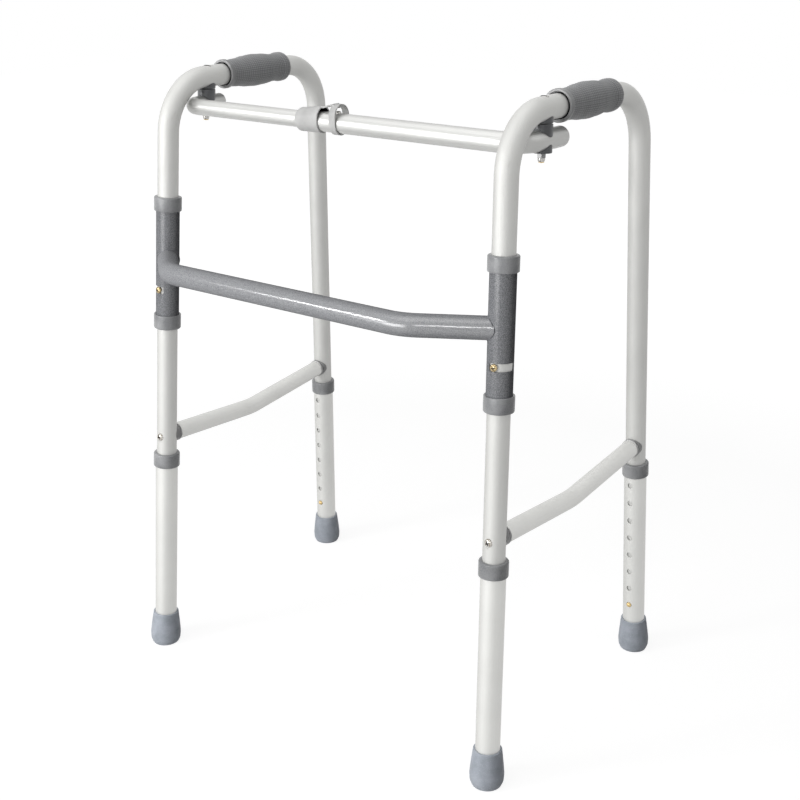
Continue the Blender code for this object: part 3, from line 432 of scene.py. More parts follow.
finishes = {}
for makeFinish, name, *values in (
    (silverTubeFinish, "silverTube", (0.605, 0.605, 0.59), 0.74, 0.66, 0.9),
    (silverTubeFinish, "silverLeg", (0.625, 0.625, 0.61), 1, 0.66, 0.7),
    (silverTubeFinish, "silverBar", (0.64, 0.64, 0.625), 0.45, 0.38, 0.3),
    # the sleeves' enamel, painted paler for the light the crossbar gets; its lacquer settings are its own
    (hammertoneFinish, "barHammertone", (0.24, 0.245, 0.26), (0.445, 0.45, 0.465), 0.13, 0.15, 1.8),
    (hammertoneFinish, "hammertone", (0.135, 0.14, 0.152), (0.335, 0.34, 0.355), 0.18, 0.14, 1.42),
    (mouldedFinish, "collarPlastic", (0.235, 0.24, 0.25), (0.38, 0.385, 0.395), 0.28, 850, 0.0006),
    # the collars' plastic, painted darker as shade for the pivot saddles
    (mouldedFinish, "saddlePlastic", (0.085, 0.088, 0.095), (0.18, 0.185, 0.195), 0.34, 800, 0.0005),
    # grey plastic for the rail saddles, partly its own tone and partly painted light lifting the shade of the rail
    # and leg on it
    (mouldedFinish, "plugPlastic", (0.34, 0.34, 0.345), (0.46, 0.46, 0.46), 0.34, 1000, 0.0003),
    # a pale ring on each rail saddle, a painted highlight on its bevel
    (mouldedFinish, "rimPlastic", (0.60, 0.60, 0.595), (0.72, 0.72, 0.715), 0.34, 1000, 0.0003),
    (mouldedFinish, "lockPlastic", (0.505, 0.505, 0.50), (0.625, 0.625, 0.615), 0.47, 900, 0.0003),
    # a black without shine, put in recesses, sockets and gaps as painted shade
    (mouldedFinish, "blackPlastic", (0.008, 0.008, 0.01), (0.03, 0.03, 0.034), 0.60, 900, 0.0004, 0),
    (waffleFinish, "gripRubber", (0.255, 0.258, 0.265), (0.465, 0.47, 0.48), 0.52, (0.0026, 0.0034)),
    (mouldedFinish, "gripLip", (0.33, 0.33, 0.335), (0.43, 0.43, 0.435), 0.34, 1300, 0.0002),
    (speckledFinish, "footRubber", (0.355, 0.39, 0.44), (0.47, 0.505, 0.565), (0.64, 0.67, 0.72), 0.62),
    (polishedFinish, "brass", (0.76, 0.58, 0.30), (0.50, 0.36, 0.16), 0.24),
    (polishedFinish, "stopBrass", (0.60, 0.48, 0.29), (0.26, 0.19, 0.09), 0.18),
    (polishedFinish, "steel", (0.54, 0.53, 0.51), (0.32, 0.31, 0.30), 0.24),
    (polishedFinish, "darkSteel", (0.24, 0.24, 0.24), (0.12, 0.12, 0.12), 0.30),
    (polishedFinish, "zincSteel", (0.60, 0.59, 0.57), (0.27, 0.22, 0.15), 0.16),
):
    finishes[name] = makeFinish(name, *values)
print("finishes made")


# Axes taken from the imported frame: X across, Y rearwards, Z up

def axesFrom(origin, rearwards, up):
    matrix = Matrix((rearwards.cross(up), rearwards, up)).transposed().to_4x4()
    matrix.translation = origin
    return matrix


def legAxes(label, end):
    # Z up a leg, from its point on the floor
    up = -Vector(joints[f"{label}_{end}_leg_slide"]["axis"]).normalized()
    along = Vector((stance[label].x / stance[label].y, 1, 0)).normalized()
    return axesFrom(soles[label, end], (along - up * along.dot(up)).normalized(), up)


def sideAxes(label):
    # Z up a side frame, from its front leg's point on the floor
    up = (upward(legs[label, "front"]) + upward(legs[label, "rear"])).normalized()
    return axesFrom(soles[label, "front"], stance[label].normalized(), up)


def onSide(label, depth, height):
    # a point in the plane of a side frame
    return sides[label] @ Vector((0, depth, height))


soles = {(label, end): mounts[f"{label}_{end}_foot_sole"] for label in sideSign for end in inwards}
stance = {label: soles[label, "rear"] - soles[label, "front"] for label in sideSign}
sideDepth = stance["right"].length
legs = {(label, end): legAxes(label, end) for label, end in soles}
sides = {label: sideAxes(label) for label in sideSign}
splay = upward(legs["left", "front"]).angle(upward(sides["left"]))
lean = math.tan(splay)


# Side frame tubes

frameTube = {
    "radius": 0.0127,
    "wall": 0.0012,
    "bendRadius": 0.0635,
    "bendSteps": 22,
    "lowEnd": 0.050,
    "crest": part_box("left_frame_tube")[1].z,
    "boltHole": 0.0051,
    "buttonHole": 0.0036,
    "screwSeat": 0.0118,
    "seatRadius": 0.0064,
}
frameTube["height"] = (frameTube["crest"] - frameTube["radius"]) / sides["left"].col[2].z
pivotMark = Vector(joints["bar_swivel"]["pos_m"])  # where the left pivot's axis meets the bar
barUnder = frameTube["height"] - (sides["left"].inverted() @ pivotMark).z
pivotDrop = barUnder / math.cos(splay)


def pivotAxes(label):
    # Z along a pivot, from its point on the top tube's axis
    mark = Vector((sideSign[label] * abs(pivotMark.x), pivotMark.y, pivotMark.z))
    matrix = legs[label, "front"].copy()
    matrix.translation = mark + upward(matrix) * pivotDrop
    return matrix


pivots = {label: pivotAxes(label) for label in sideSign}

sideRail = {
    "height": 0.3037,
    "dip": 0.0142,
    "radius": 0.0110,
    "wall": 0.0012,
    "bendRadius": 0.150,
    "saddleReach": 0.0168,
    "saddleRadius": 0.0120,
    "saddleWrap": 0.0060,
    "spigot": 0.016,
    "groove": 0.0016,
    "screwDrop": 0.0012,
}
railScrew = {"radius": 0.0047, "height": 0.0026, "shank": 0.0023, "tip": -0.025}


def railEnd(label, end):
    # Z from the leg's axis along the rail
    lift = sideRail["height"] * lean
    half = sideDepth / 2 - lift
    depth = lift if end == "front" else sideDepth - lift
    place = facing((0, half * inwards[end], -sideRail["dip"]), (0, depth, sideRail["height"]))
    return sides[label] @ place


def screwPlace(label, end):
    # Z out of the leg's outer side, a little below the rail's line
    drop = upward(legs[label, end]) * -sideRail["screwDrop"]
    return Matrix.Translation(drop) @ railEnd(label, end) @ Matrix.Rotation(math.pi, 4, "X")


def holePlace(label, end, index=0):
    # Z out of one of a leg's holes, counted upwards, towards the other leg
    axes = legs[label, end]
    height = legTube["firstHole"] + index * legTube["holePitch"]
    return facing(axes.col[1].to_3d() * inwards[end], axes @ Vector((0, 0, height)))


def makeFrameTube(label):
    low = frameTube["lowEnd"] * math.cos(splay)
    high = frameTube["height"]
    corners = [
        onSide(label, low * lean, low),
        onSide(label, high * lean, high),
        onSide(label, sideDepth - high * lean, high),
        onSide(label, sideDepth - low * lean, low),
    ]
    bends = [frameTube["bendRadius"]] * 2
    path = withMidpoints(roundedPath(corners, bends, frameTube["bendSteps"]), 0.08)
    tube = tubeAlong(f"{label}FrameTube", path, frameTube["radius"], "silverTube", frameTube["wall"])
    carve(tube, rod("boltHole", pivots[label], frameTube["boltHole"], 0, 0.03, 24))
    for end in inwards:
        carve(tube, rod("buttonHole", holePlace(label, end), frameTube["buttonHole"], 0, 0.02, 20))
        seat = screwPlace(label, end)
        carve(tube, rod("screwSeat", seat, frameTube["seatRadius"], frameTube["screwSeat"], 0.02, 40))
    roundNormals(tube, [legs[label, end] for end in inwards], frameTube)
    settle(tube, f"{label}_frame", "silver_tube", f"{label}_frame_tube")


def crossHead(name, place, sizes, low, finish):
    # a screw whose domed head, from low upwards, has a cross recess whose faces are painted black as shade
    radius, height = sizes["radius"], sizes["height"]
    top = low + height
    profile = [
        (0, top),
        (radius * 0.35, top - height * 0.04),
        (radius * 0.66, top - height * 0.20),
        (radius * 0.88, top - height * 0.46),
        (radius, top - height * 0.80),
        (radius, low),
        (sizes["shank"], low),
        (sizes["shank"], sizes["tip"]),
        (0, sizes["tip"]),
    ]
    screw = turned(name, profile, place, finish, 36)
    slot = Matrix.Diagonal((radius * 1.15, radius * 0.28, height * 1.1, 1))
    for turn in (0.4, 0.4 + math.pi / 2):
        spin = place @ Matrix.Rotation(turn, 4, "Z")
        carve(screw, block("recess", spin @ Matrix.Translation((0, 0, top)) @ slot))
    # the faces inside the cross recess get painted shade in black
    screw.data.materials.append(finishes["blackPlastic"])
    back = place.inverted()
    for face in screw.data.polygons:
        spot = back @ face.center
        share = math.hypot(spot.x, spot.y) / radius
        if share < 0.6 and low < spot.z < top - height * (0.12 + 0.8 * share * share):
            face.material_index = 1
    return screw


def makeSideRail(label):
    body = f"{label}_frame"
    reach, edge, wrap = sideRail["saddleReach"], sideRail["saddleRadius"], sideRail["saddleWrap"]
    start = Vector((0, 0, reach + clearance))
    middle = onSide(label, sideDepth / 2, sideRail["height"] - sideRail["dip"])
    corners = [railEnd(label, "front") @ start, middle, railEnd(label, "rear") @ start]
    path = withMidpoints(roundedPath(corners, [sideRail["bendRadius"]], 10), 0.06)
    rail = tubeAlong(f"{label}SideRail", path, sideRail["radius"], "silverLeg", sideRail["wall"], 48)
    settle(rail, body, "silver_tube", f"{label}_side_rail")
    spigot = sideRail["radius"] - sideRail["wall"] - clearance
    neck = edge - sideRail["groove"]
    plug = [
        (0, reach + sideRail["spigot"], 0),
        (spigot, reach + sideRail["spigot"], 0.001),
        (spigot, reach - 0.0002, 0),
        (neck, reach - 0.0002, 0),
        (neck, reach - 0.0031, 0),
        (edge, reach - 0.0033, 0.0003),
        (edge, wrap, 0),
        (0, wrap, 0),
    ]
    band = [
        (neck, reach - 0.0001, 0),
        (edge, reach - 0.0001, 0.0008),
        (edge, reach - 0.0021, 0.0006),
        (neck, reach - 0.0021, 0),
    ]
    for end in inwards:
        place = railEnd(label, end)
        tag = f"{label}{end.title()}Rail"
        # the saddle's grey is partly painted light
        saddle = turned(f"{tag}Saddle", softened(plug), place, "plugPlastic")
        carve(saddle, rod("seat", legs[label, end], frameTube["radius"] + clearance, 0.25, 0.36, 64))
        settle(saddle, body, "dark_plastic", f"{label}_{end}_rail_saddle")
        # the rim's pale finish is a painted highlight
        rim = turned(f"{tag}Rim", softened(band, 3, True), place, "rimPlastic", 56, True)
        settle(rim, body, "lock_plastic")
        low = frameTube["screwSeat"] + clearance
        screw = crossHead(f"{tag}Screw", screwPlace(label, end), railScrew, low, "zincSteel")
        settle(screw, body, "steel", f"{label}_{end}_rail_screw")


# Lower legs, collars, feet and snap buttons

legTube = {
    "radius": 0.0143,
    "wall": 0.0012,
    "firstHole": 0.0722,
    "holePitch": 0.0254,
    "holeCount": 8,
    "holeRadius": 0.0037,
}
collar = {
    "radius": 0.0168,
    "height": 0.0182,
    "shortHeight": 0.0172,
    "lip": 0.0017,
    "topRound": 0.0030,
    "legTop": 0.2795,
}
foot = {
    "height": 0.0452,
    "sole": 0.010,
    "radius": 0.0202,
    "rimRadius": 0.0167,
    "bulgeHeight": 0.013,
    "below": 0.0018,  # cut off at the floor
}
snapButton = {"radius": 0.0034, "stand": 0.0024, "flange": 0.0039, "flangeHeight": 0.0012, "low": 0.0088}


def makeCollar(name, node, body, place, height):
    bore = legTube["radius"] + clearance
    lip = frameTube["radius"] + clearance
    corners = [
        (lip, height, 0.0004),
        (collar["radius"], height, collar["topRound"]),
        (collar["radius"], 0, 0.0010),
        (bore, 0, 0.0002),
        (bore, height - collar["lip"], 0),
        (lip, height - collar["lip"], 0),
    ]
    ring = turned(name, softened(corners, 5, True), place, "collarPlastic", 64, True)
    settle(ring, body, "dark_plastic", node)


def buttonDome(tubeRadius):
    # the rounded end of a snap button, which stands out of a tube
    radius, top = snapButton["radius"], tubeRadius + snapButton["stand"]
    return [(0, top, 0), (radius * 0.55, top - 0.0003, 0.002), (radius, top - 0.0018, 0.0016)]


def makeLeg(label, end):
    axes = legs[label, end]
    body = f"{label}_{end}_leg"
    tag = f"{label}{end.title()}"
    low = foot["sole"] + clearance
    high = collar["legTop"] - collar["lip"] - clearance
    path = withMidpoints([axes @ Vector((0, 0, low)), axes @ Vector((0, 0, high))], 0.06)
    tube = tubeAlong(f"{tag}LowerLeg", path, legTube["radius"], "silverLeg", legTube["wall"])
    for i in range(legTube["holeCount"]):
        hole = holePlace(label, end, i)
        carve(tube, rod("legHole", hole, legTube["holeRadius"], 0.006, 0.02, 24))
    roundNormals(tube, [axes], legTube)
    settle(tube, body, "silver_tube", f"{label}_{end}_lower_leg")

    place = axes @ Matrix.Translation((0, 0, collar["legTop"] - collar["height"]))
    makeCollar(f"{tag}LegCollar", f"{label}_{end}_leg_collar", body, place, collar["height"])

    bore = legTube["radius"] + clearance
    corners = [
        (0, foot["sole"], 0),
        (bore, foot["sole"], 0),
        (bore, foot["height"], 0.0003),
        (foot["rimRadius"], foot["height"], 0.0011),
        (foot["radius"] - 0.0011, foot["height"] * 0.56, 0.030),
        (foot["radius"], foot["bulgeHeight"], 0.020),
        (foot["radius"] - 0.0005, 0.0052, 0.006),
        (foot["radius"] - 0.0034, -foot["below"], 0.0030),
        (0, -foot["below"], 0),
    ]
    rubber = turned(f"{tag}Foot", softened(corners, 6), axes, "footRubber", 72)
    carve(rubber, block("ground", Matrix.Translation((0, 0, -0.5))))
    settle(rubber, body, "foot_rubber", f"{label}_{end}_foot")

    radius, flange, low = snapButton["radius"], snapButton["flange"], snapButton["low"]
    shoulder = low + snapButton["flangeHeight"]
    corners = buttonDome(legTube["radius"])
    corners += [(radius, shoulder, 0.0003), (flange, shoulder, 0.0003), (flange, low, 0), (0, low, 0)]
    place = holePlace(label, end)
    button = turned(f"{tag}ClipButton", softened(corners, 5), place, "brass", 32)
    settle(button, f"{label}_{end}_clip_button", "brass", f"{label}_{end}_clip_button")


# Hand grips

grip = {
    "behindPivot": 0.028,
    "length": 0.1130,
    "lipRadius": 0.0176,
    "neckRadius": 0.0159,
    "neck": 0.0070,
    "swellRadius": 0.0197,
    "waistRadius": 0.0170,
    "beadRadius": 0.0183,
    "recessRadius": 0.0147,
    "recessDepth": 0.004,
    "tail": 0.0040,
    "ribPitch": 0.0034,
    "ribDepth": 0.00025,
    "ribsFrom": 0.0100,
    "ribsTo": 0.1000,
}


def smoothCurve(knots, at):
    # a smooth curve through (place, value) knots
    for (x0, y0), (x1, y1) in zip(knots, knots[1:]):
        if at <= x1:
            share = (at - x0) / (x1 - x0)
            share = share * share * (3 - 2 * share)
            return y0 + (y1 - y0) * share
    return knots[-1][1]


def makeGrip(label):
    length, neck, lipRadius, bead = grip["length"], grip["neck"], grip["lipRadius"], grip["beadRadius"]
    recess, depth = grip["recessRadius"], grip["recessDepth"]
    bore = frameTube["radius"] + clearance
    knots = [
        (neck, grip["neckRadius"]),
        (length * 0.22, grip["neckRadius"] + 0.0011),
        (length * 0.36, grip["swellRadius"] - 0.0009),
        (length * 0.50, grip["swellRadius"]),
        (length * 0.64, grip["swellRadius"] - 0.0007),
        (length - 0.0200, grip["waistRadius"]),
        (length - 0.0130, grip["waistRadius"] + 0.0002),
        (length - 0.0085, bead),
        (length - grip["tail"], bead),
    ]
    outer = []
    step = grip["ribPitch"] / 6
    for i in range(round((length - grip["tail"] - neck) / step) + 1):
        at = neck + i * step
        radius = smoothCurve(knots, at)
        if grip["ribsFrom"] < at < grip["ribsTo"]:
            turn = (at - grip["ribsFrom"]) / grip["ribPitch"] * 2 * math.pi
            radius -= grip["ribDepth"] * (0.5 - 0.5 * math.cos(turn)) ** 2
        outer.append((radius, at))
    lip = [
        (bore, depth, 0),
        (recess, depth, 0.0004),
        (recess, 0, 0.0005),
        (lipRadius, 0.0002, 0.0014),
        (lipRadius, 0.0056, 0.0010),
        (grip["neckRadius"], 0.0068, 0),
    ]
    tail = [
        (bead, length - grip["tail"], 0),
        (bead - 0.0003, length - 0.0002, 0.0032),
        (recess, length, 0.0005),
        (bore, length, 0),
    ]
    ribbed = [(bore, neck), *outer, *softened(tail, 5)[1:]]
    smooth = softened(lip) + [(grip["neckRadius"], neck + 0.0008), (bore, neck + 0.0008)]
    # a black ring round the tube inside the lip's recess, painted shade for the gap
    recessShade = [(bore, 0.0008), (bore + 0.0007, 0.0008), (bore + 0.0007, 0.0038), (bore, 0.0038)]
    start = sides[label].inverted() @ pivots[label].translation
    place = sides[label] @ facing((0, 1, 0), (0, start.y + grip["behindPivot"], start.z))
    body = f"{label}_frame"
    piece = turned(f"{label}Grip", ribbed, place, "gripRubber", 72, True, 50)
    settle(piece, body, "grip_rubber", f"{label}_grip")
    piece = turned(f"{label}GripLip", smooth, place, "gripLip", 72, True, 50)
    settle(piece, body, "grip_rubber")
    # the painted shade ring in the lip's recess
    piece = turned(f"{label}GripRecessShade", recessShade, place, "blackPlastic", 64, True)
    settle(piece, body, "grip_rubber")


# Sleeves and the lower crossbar

sleeve = {
    "radius": 0.0143,
    "wall": 0.0012,
    "low": 0.449,
    "high": 0.615,
    "slotHeight": 0.009,
    "slotLevel": 0.4995,
    "slotCorner": 0.0028,
    "cutFrom": 0.0125,
    "cutTo": 0.0175,
    "stopAngle": math.radians(5),
}
stopScrew = {"radius": 0.0042, "height": 0.0024, "shank": 0.0022, "tip": 0.006, "play": 0.0003}
crossbar = {
    "height": 0.537,
    "radius": 0.0127,
    "wall": 0.0015,
    "bow": 0.051,
    "corners": (-0.186, 0.151),
    "bends": (0.042, 0.065),
}
weld = {
    "size": 0.0008,
    "innerExtra": 0.0010,
    "unevenness": 0.00008,
    "intoBar": 0.0002,
    "intoSleeve": 0.0001,
    "steps": 64,
    "sides": 12,
}


def slotCutter(label, start, end):
    # a band round the leg with rounded ends, from one angle to another
    half = sleeve["slotHeight"] / 2
    corner = sleeve["slotCorner"]
    near, far = sleeve["cutFrom"], sleeve["cutTo"]
    span = abs(end - start) * sleeve["radius"]
    columns = []
    for i in range(6):
        bite = corner * (1 - math.cos(i / 5 * math.pi / 2))
        height = half - corner + corner * math.sin(i / 5 * math.pi / 2)
        columns.append((bite, max(height, 0.0002)))
    middle = [(corner + (span - 2 * corner) * i / 24, half) for i in range(1, 24)]
    columns += middle + [(span - bite, height) for bite, height in reversed(columns)]
    rings = []
    for travel, height in columns:
        angle = start + (end - start) * travel / span
        ring = []
        for radius, level in ((near, -height), (far, -height), (far, height), (near, height)):
            spot = (radius * math.cos(angle), radius * math.sin(angle), sleeve["slotLevel"] + level)
            ring.append(legs[label, "front"] @ Vector(spot))
        rings.append(ring)
    return loft("slot", rings, [0] * len(rings), 1)


def makeSleeve(label):
    axes = legs[label, "front"]
    outwards = sideSign[label]
    low = sleeve["low"] + collar["lip"] + clearance
    high = sleeve["high"] - collar["lip"] - clearance
    path = withMidpoints([axes @ Vector((0, 0, low)), axes @ Vector((0, 0, high))])
    tube = tubeAlong(f"{label}Sleeve", path, sleeve["radius"], "hammertone", sleeve["wall"], 64)
    fold = math.radians(joints["left_fold"]["range_deg"][1])
    margin = (stopScrew["shank"] + stopScrew["play"] + sleeve["slotHeight"] / 2) / sleeve["radius"]
    start = -math.pi / 2 + outwards * (sleeve["stopAngle"] - margin)
    end = -math.pi / 2 + outwards * (sleeve["stopAngle"] + fold + margin)
    carve(tube, slotCutter(label, start, end))
    roundNormals(tube, [axes], sleeve)
    settle(tube, "base", "hammertone", f"{label}_sleeve")

    upper = axes @ Matrix.Translation((0, 0, sleeve["high"] - collar["shortHeight"]))
    lower = axes @ Matrix.Translation((0, 0, sleeve["low"] + collar["height"]))
    lower = lower @ Matrix.Rotation(math.pi, 4, "X")
    node = f"{label}_upper_sleeve_collar"
    makeCollar(f"{label}UpperSleeveCollar", node, "base", upper, collar["shortHeight"])
    node = f"{label}_lower_sleeve_collar"
    makeCollar(f"{label}LowerSleeveCollar", node, "base", lower, collar["height"])

    direction = (outwards * math.sin(sleeve["stopAngle"]), -math.cos(sleeve["stopAngle"]), 0)
    place = axes @ facing(direction, (0, 0, sleeve["slotLevel"]))
    seat = sleeve["radius"] + clearance
    screw = crossHead(f"{label}StopScrew", place, stopScrew, seat, "stopBrass")
    settle(screw, f"{label}_frame", "brass", f"{label}_stop_screw")


def makeCrossbar():
    ends = []
    for label in sideSign:
        axes = legs[label, "front"]
        ends.append(axes.translation + upward(axes) * (crossbar["height"] / upward(axes).z))
    ahead = ends[0].y - crossbar["bow"]
    bends = [Vector((across, ahead, crossbar["height"])) for across in crossbar["corners"]]
    corners = [ends[0], *bends, ends[1]]
    path = withMidpoints(roundedPath(corners, crossbar["bends"], 12))
    # the crossbar takes the enamel painted paler as light
    bar = tubeAlong("lowerCrossbar", path, crossbar["radius"], "barHammertone", crossbar["wall"], 64)
    reach = sleeve["radius"] + clearance
    for label in sideSign:
        carve(bar, rod("cope", legs[label, "front"], reach, sleeve["low"], sleeve["high"], 64))
    settle(bar, "base", "hammertone", "lower_crossbar")
    for label, end, bend in zip(sideSign, ends, bends):
        makeWeld(label, end, bend)


def makeWeld(label, end, bend):
    # a painted bead round the coped end, a little thicker in the inner corner
    along = (bend - end).normalized()
    axes = legs[label, "front"]
    up = upward(axes)
    acrossBar = along.cross(up).normalized()
    if acrossBar.x * sideSign[label] > 0:
        acrossBar = -acrossBar
    upBar = acrossBar.cross(along).normalized()
    rings = []
    for i, angle in enumerate(turnSteps(weld["steps"])):
        spoke = acrossBar * math.cos(angle) + upBar * math.sin(angle)
        base = end + spoke * (crossbar["radius"] - weld["intoBar"])
        # the spot along the bar at which it meets the sleeve
        offset = base - axes.translation
        flat = offset - up * offset.dot(up)
        pace = along - up * along.dot(up)
        b = flat.dot(pace) / pace.dot(pace)
        c = (flat.dot(flat) - (sleeve["radius"] - weld["intoSleeve"]) ** 2) / pace.dot(pace)
        spot = base + along * (-b + math.sqrt(max(b * b - c, 0)))
        outOfLeg = spot - axes.translation
        outOfLeg = (outOfLeg - up * outOfLeg.dot(up)).normalized()
        inner = max(0, math.cos(angle)) ** 2
        size = weld["size"] + weld["innerExtra"] * inner + weld["unevenness"] * math.sin(i * 2.4)
        ring = []
        for turn in turnSteps(weld["sides"]):
            ring.append(spot + (spoke * math.cos(turn) + outOfLeg * math.sin(turn)) * size)
        rings.append(ring)
    rings.append(rings[0])
    lengths = [0.001 * i for i in range(len(rings))]
    seam = loft(f"{label}Weld", rings, lengths, 0.006, "hammertone", 180)
    settle(seam, "base", "hammertone")


# Upper bar

upperBar = {
    "ahead": 0.0328,
    "inner": {"radius": 0.0095, "bend": 0.020, "tail": 0.027, "end": 0.030},
    "outer": {"radius": 0.0111, "bend": 0.032, "tail": 0.039, "end": -0.040},
    "wall": 0.00122,
    "dome": 0.0030,
    "domeBacks": (0.80, 0.56, 0.32, 0.12, 0.02, 0),
    "domeScales": (0.99, 0.965, 0.925, 0.86, 0.78, 0.68),
    "buttonX": -0.003,
    "buttonHole": 0.0037,
}
runY = pivotMark.y - upperBar["ahead"]
barLevel = pivotMark.z
barHalves = {"left": "inner", "right": "outer"}


def barPath(label):
    # a half's path up to its domed tip, the tip, and the way rearwards
    sizes = upperBar[barHalves[label]]
    pin = Vector((sideSign[label] * abs(pivotMark.x), pivotMark.y, barLevel))
    back = sides[label].col[1].to_3d()
    tip = pin + back * sizes["tail"]
    start = Vector((sizes["end"], runY, barLevel))
    corners = [start, pin + back * ((runY - pin.y) / back.y), tip - back * upperBar["dome"]]
    return withMidpoints(roundedPath(corners, [sizes["bend"]], 14)), tip, back


def makeUpperBar(label):
    half = barHalves[label]
    radius = upperBar[half]["radius"]
    path, tip, back = barPath(label)
    dome = [tip - back * upperBar["dome"] * share for share in upperBar["domeBacks"]]
    scales = upperBar["domeScales"]
    bar = tubeAlong(f"{half}Bar", path + dome, radius, "silverBar", 0, 56, scales)
    outside = path[0] + (path[0] - path[1]).normalized() * 0.01
    hollow = [outside, *path[1:-1], tip - back * 0.002]
    carve(bar, tubeAlong("bore", hollow, radius - upperBar["wall"], None, 0, 48))
    if half == "outer":
        carve(bar, rod("buttonHole", lockAxes, upperBar["buttonHole"], 0.004, 0.02, 24))
    settle(bar, f"{half}_bar", "silver_tube", f"{half}_bar")


# Pivots

pivotSaddle = {
    "radius": 0.0108,
    "top": -0.0055,
    "split": -0.0141,
    "gap": 0.0008,
    "lowerBottom": -0.0282,
    "bottomTop": -0.0345,
    "floor": 0.0014,
}
nut = {"radius": 0.0049, "hexHeight": 0.0048, "height": 0.0102}
bolt = {"head": 0.0049, "socket": 0.0034, "headHeight": 0.0042, "shank": 0.0025}


def saddleSeat(label, level):
    # the tube that a saddle is cut to
    if level != "Upper":
        path, tip, _ = barPath(label)
        return tubeAlong("seat", path + [tip], barRadius(label) + clearance, None, 0, 64)
    high = frameTube["height"]
    low = high - 0.15
    corners = [
        onSide(label, low * lean, low),
        onSide(label, high * lean, high),
        onSide(label, sideDepth / 2, high),
    ]
    path = roundedPath(corners, [frameTube["bendRadius"]], 14)
    return tubeAlong("seat", path, frameTube["radius"] + clearance, None, 0, 64)


def barRadius(label):
    return upperBar[barHalves[label]]["radius"]


def makePivot(label):
    axes = pivots[label]
    frameBody = f"{label}_frame"
    barBody = f"{barHalves[label]}_bar"
    floor = -pivotDrop * math.cos(splay) - barRadius(label) - pivotSaddle["floor"]
    levels = {
        "Upper": (pivotSaddle["split"], pivotSaddle["top"], frameBody),
        "Lower": (pivotSaddle["lowerBottom"], pivotSaddle["split"] - pivotSaddle["gap"], barBody),
        "Bottom": (floor, pivotSaddle["bottomTop"], barBody),
    }
    radius = pivotSaddle["radius"]
    for level, (bottom, top, owner) in levels.items():
        corners = [(0, top, 0), (radius, top, 0.0005), (radius, bottom, 0.0009), (0, bottom, 0)]
        profile = softened(corners, 3)
        # the saddles take the plastic painted darker as shade
        saddle = turned(f"{label}{level}Saddle", profile, axes, "saddlePlastic")
        carve(saddle, saddleSeat(label, level))
        if level == "Lower":
            # both bars' ears end on the curve that suits the wider bar
            wide = upperBar["outer"]["radius"] + 0.0004
            drop = pivotDrop + wide - barRadius(label) - 0.0001
            ears = facing(sides[label].col[1].to_3d(), axes @ Vector((0, 0, -drop)))
            carve(saddle, rod("ears", ears, wide, -0.03, 0.03, 64))
        settle(saddle, owner, "dark_plastic", f"{label}_{level.lower()}_saddle")
    makeNut(label, floor - clearance, frameBody if label == "left" else barBody)
    makeBolt(label)


def makeNut(label, top, owner):
    # a hexagon with a dome below it and a brass ring in the dome's end
    axes = pivots[label]
    radius = nut["radius"]
    low = top - nut["hexHeight"]
    bottom = top - nut["height"]
    hexagon = [
        (0, top),
        (radius * 0.93, top),
        (radius, top - 0.0004),
        (radius, low + 0.0004),
        (radius * 0.9, low),
        (0, low),
    ]
    dome = [
        (0, low + 0.0004, 0),
        (radius * 0.80, low + 0.0004, 0),
        (radius * 0.80, bottom + 0.0030, 0.003),
        (radius * 0.55, bottom + 0.0008, 0.002),
        (0, bottom, 0),
    ]
    tip = [
        (0, bottom + 0.0016, 0),
        (radius * 0.64, bottom + 0.0016, 0.0002),
        (radius * 0.60, bottom + 0.0006, 0.0004),
        (0, bottom + 0.0006, 0),
    ]
    piece = turned(f"{label}NutHex", hexagon, axes, "darkSteel", 6, False, 20)
    settle(piece, owner, "steel", f"{label}_pivot_nut")
    settle(turned(f"{label}NutDome", softened(dome, 5), axes, "steel", 32), owner, "steel")
    settle(turned(f"{label}NutRing", softened(tip, 3), axes, "brass", 32), owner, "steel")


def makeBolt(label):
    # a low round head, with a black fill in its socket as painted shade
    crest = frameTube["radius"]
    head, socket = bolt["head"], bolt["socket"]
    profile = [
        (0, crest - 0.0012),
        (socket, crest - 0.0012),
        (socket, crest - 0.0002),
        (socket + 0.0004, crest),
        (head - 0.0010, crest),
        (head - 0.0002, crest - 0.0006),
        (head, crest - 0.0011),
        (head, crest - bolt["headHeight"]),
        (bolt["shank"], crest - bolt["headHeight"]),
        (bolt["shank"], pivotSaddle["split"]),
        (0, pivotSaddle["split"]),
    ]
    # a black fill in the socket, painted shade for the hole's depth
    plug = [
        (0, crest + 0.0006, 0),
        (socket - 0.0001, crest + 0.0004, 0.0004),
        (socket - 0.0001, crest - 0.0011, 0),
        (0, crest - 0.0011, 0),
    ]
    body = f"{label}_frame"
    piece = turned(f"{label}PivotBolt", profile, pivots[label], "steel", 40)
    settle(piece, body, "steel", f"{label}_pivot_bolt")
    piece = turned(f"{label}BoltSocketShade", softened(plug, 3), pivots[label], "blackPlastic", 32)
    settle(piece, body, "steel")


# Centre lock

lock = {
    "left": -0.0580,
    "mouth": -0.024,
    "radius": 0.0130,
    "raise": 0.0040,
    "wall": 0.0015,
    "ringLeft": -0.007,
    "ringRight": 0.0020,
    "ringRadius": 0.0130,
    "ringInner": 0.0115,
    "ringRaise": 0.0082,
    "stripWidth": 0.009,
    "stripThickness": 0.0020,
    "edge": 0.0004,
    "buttonLow": 0.0065,
}
pad = {"tip": 0.0024, "root": 0.0027, "hang": 0.0030, "rise": 0.0005}
lockAxes = Matrix.Translation((upperBar["buttonX"], runY, barLevel))


def oblong(radius, raised, count=64):
    # a circle whose upper half is lifted, as (across, up) points
    points = []
    for start, lift in ((0, raised), (math.pi, 0)):
        for i in range(count // 2 + 1):
            angle = start + math.pi * i / (count // 2)
            points.append((radius * math.cos(angle), lift + radius * math.sin(angle)))
    return points


def oblongLoft(name, sections, finish=None):
    # oblong sections along the bar, each (x, radius, raise)
    rings = []
    for x, radius, raised in sections:
        rings.append([Vector((x, runY + y, barLevel + z)) for y, z in oblong(radius, raised)])
    return loft(name, rings, [section[0] for section in sections], 0.08, finish)


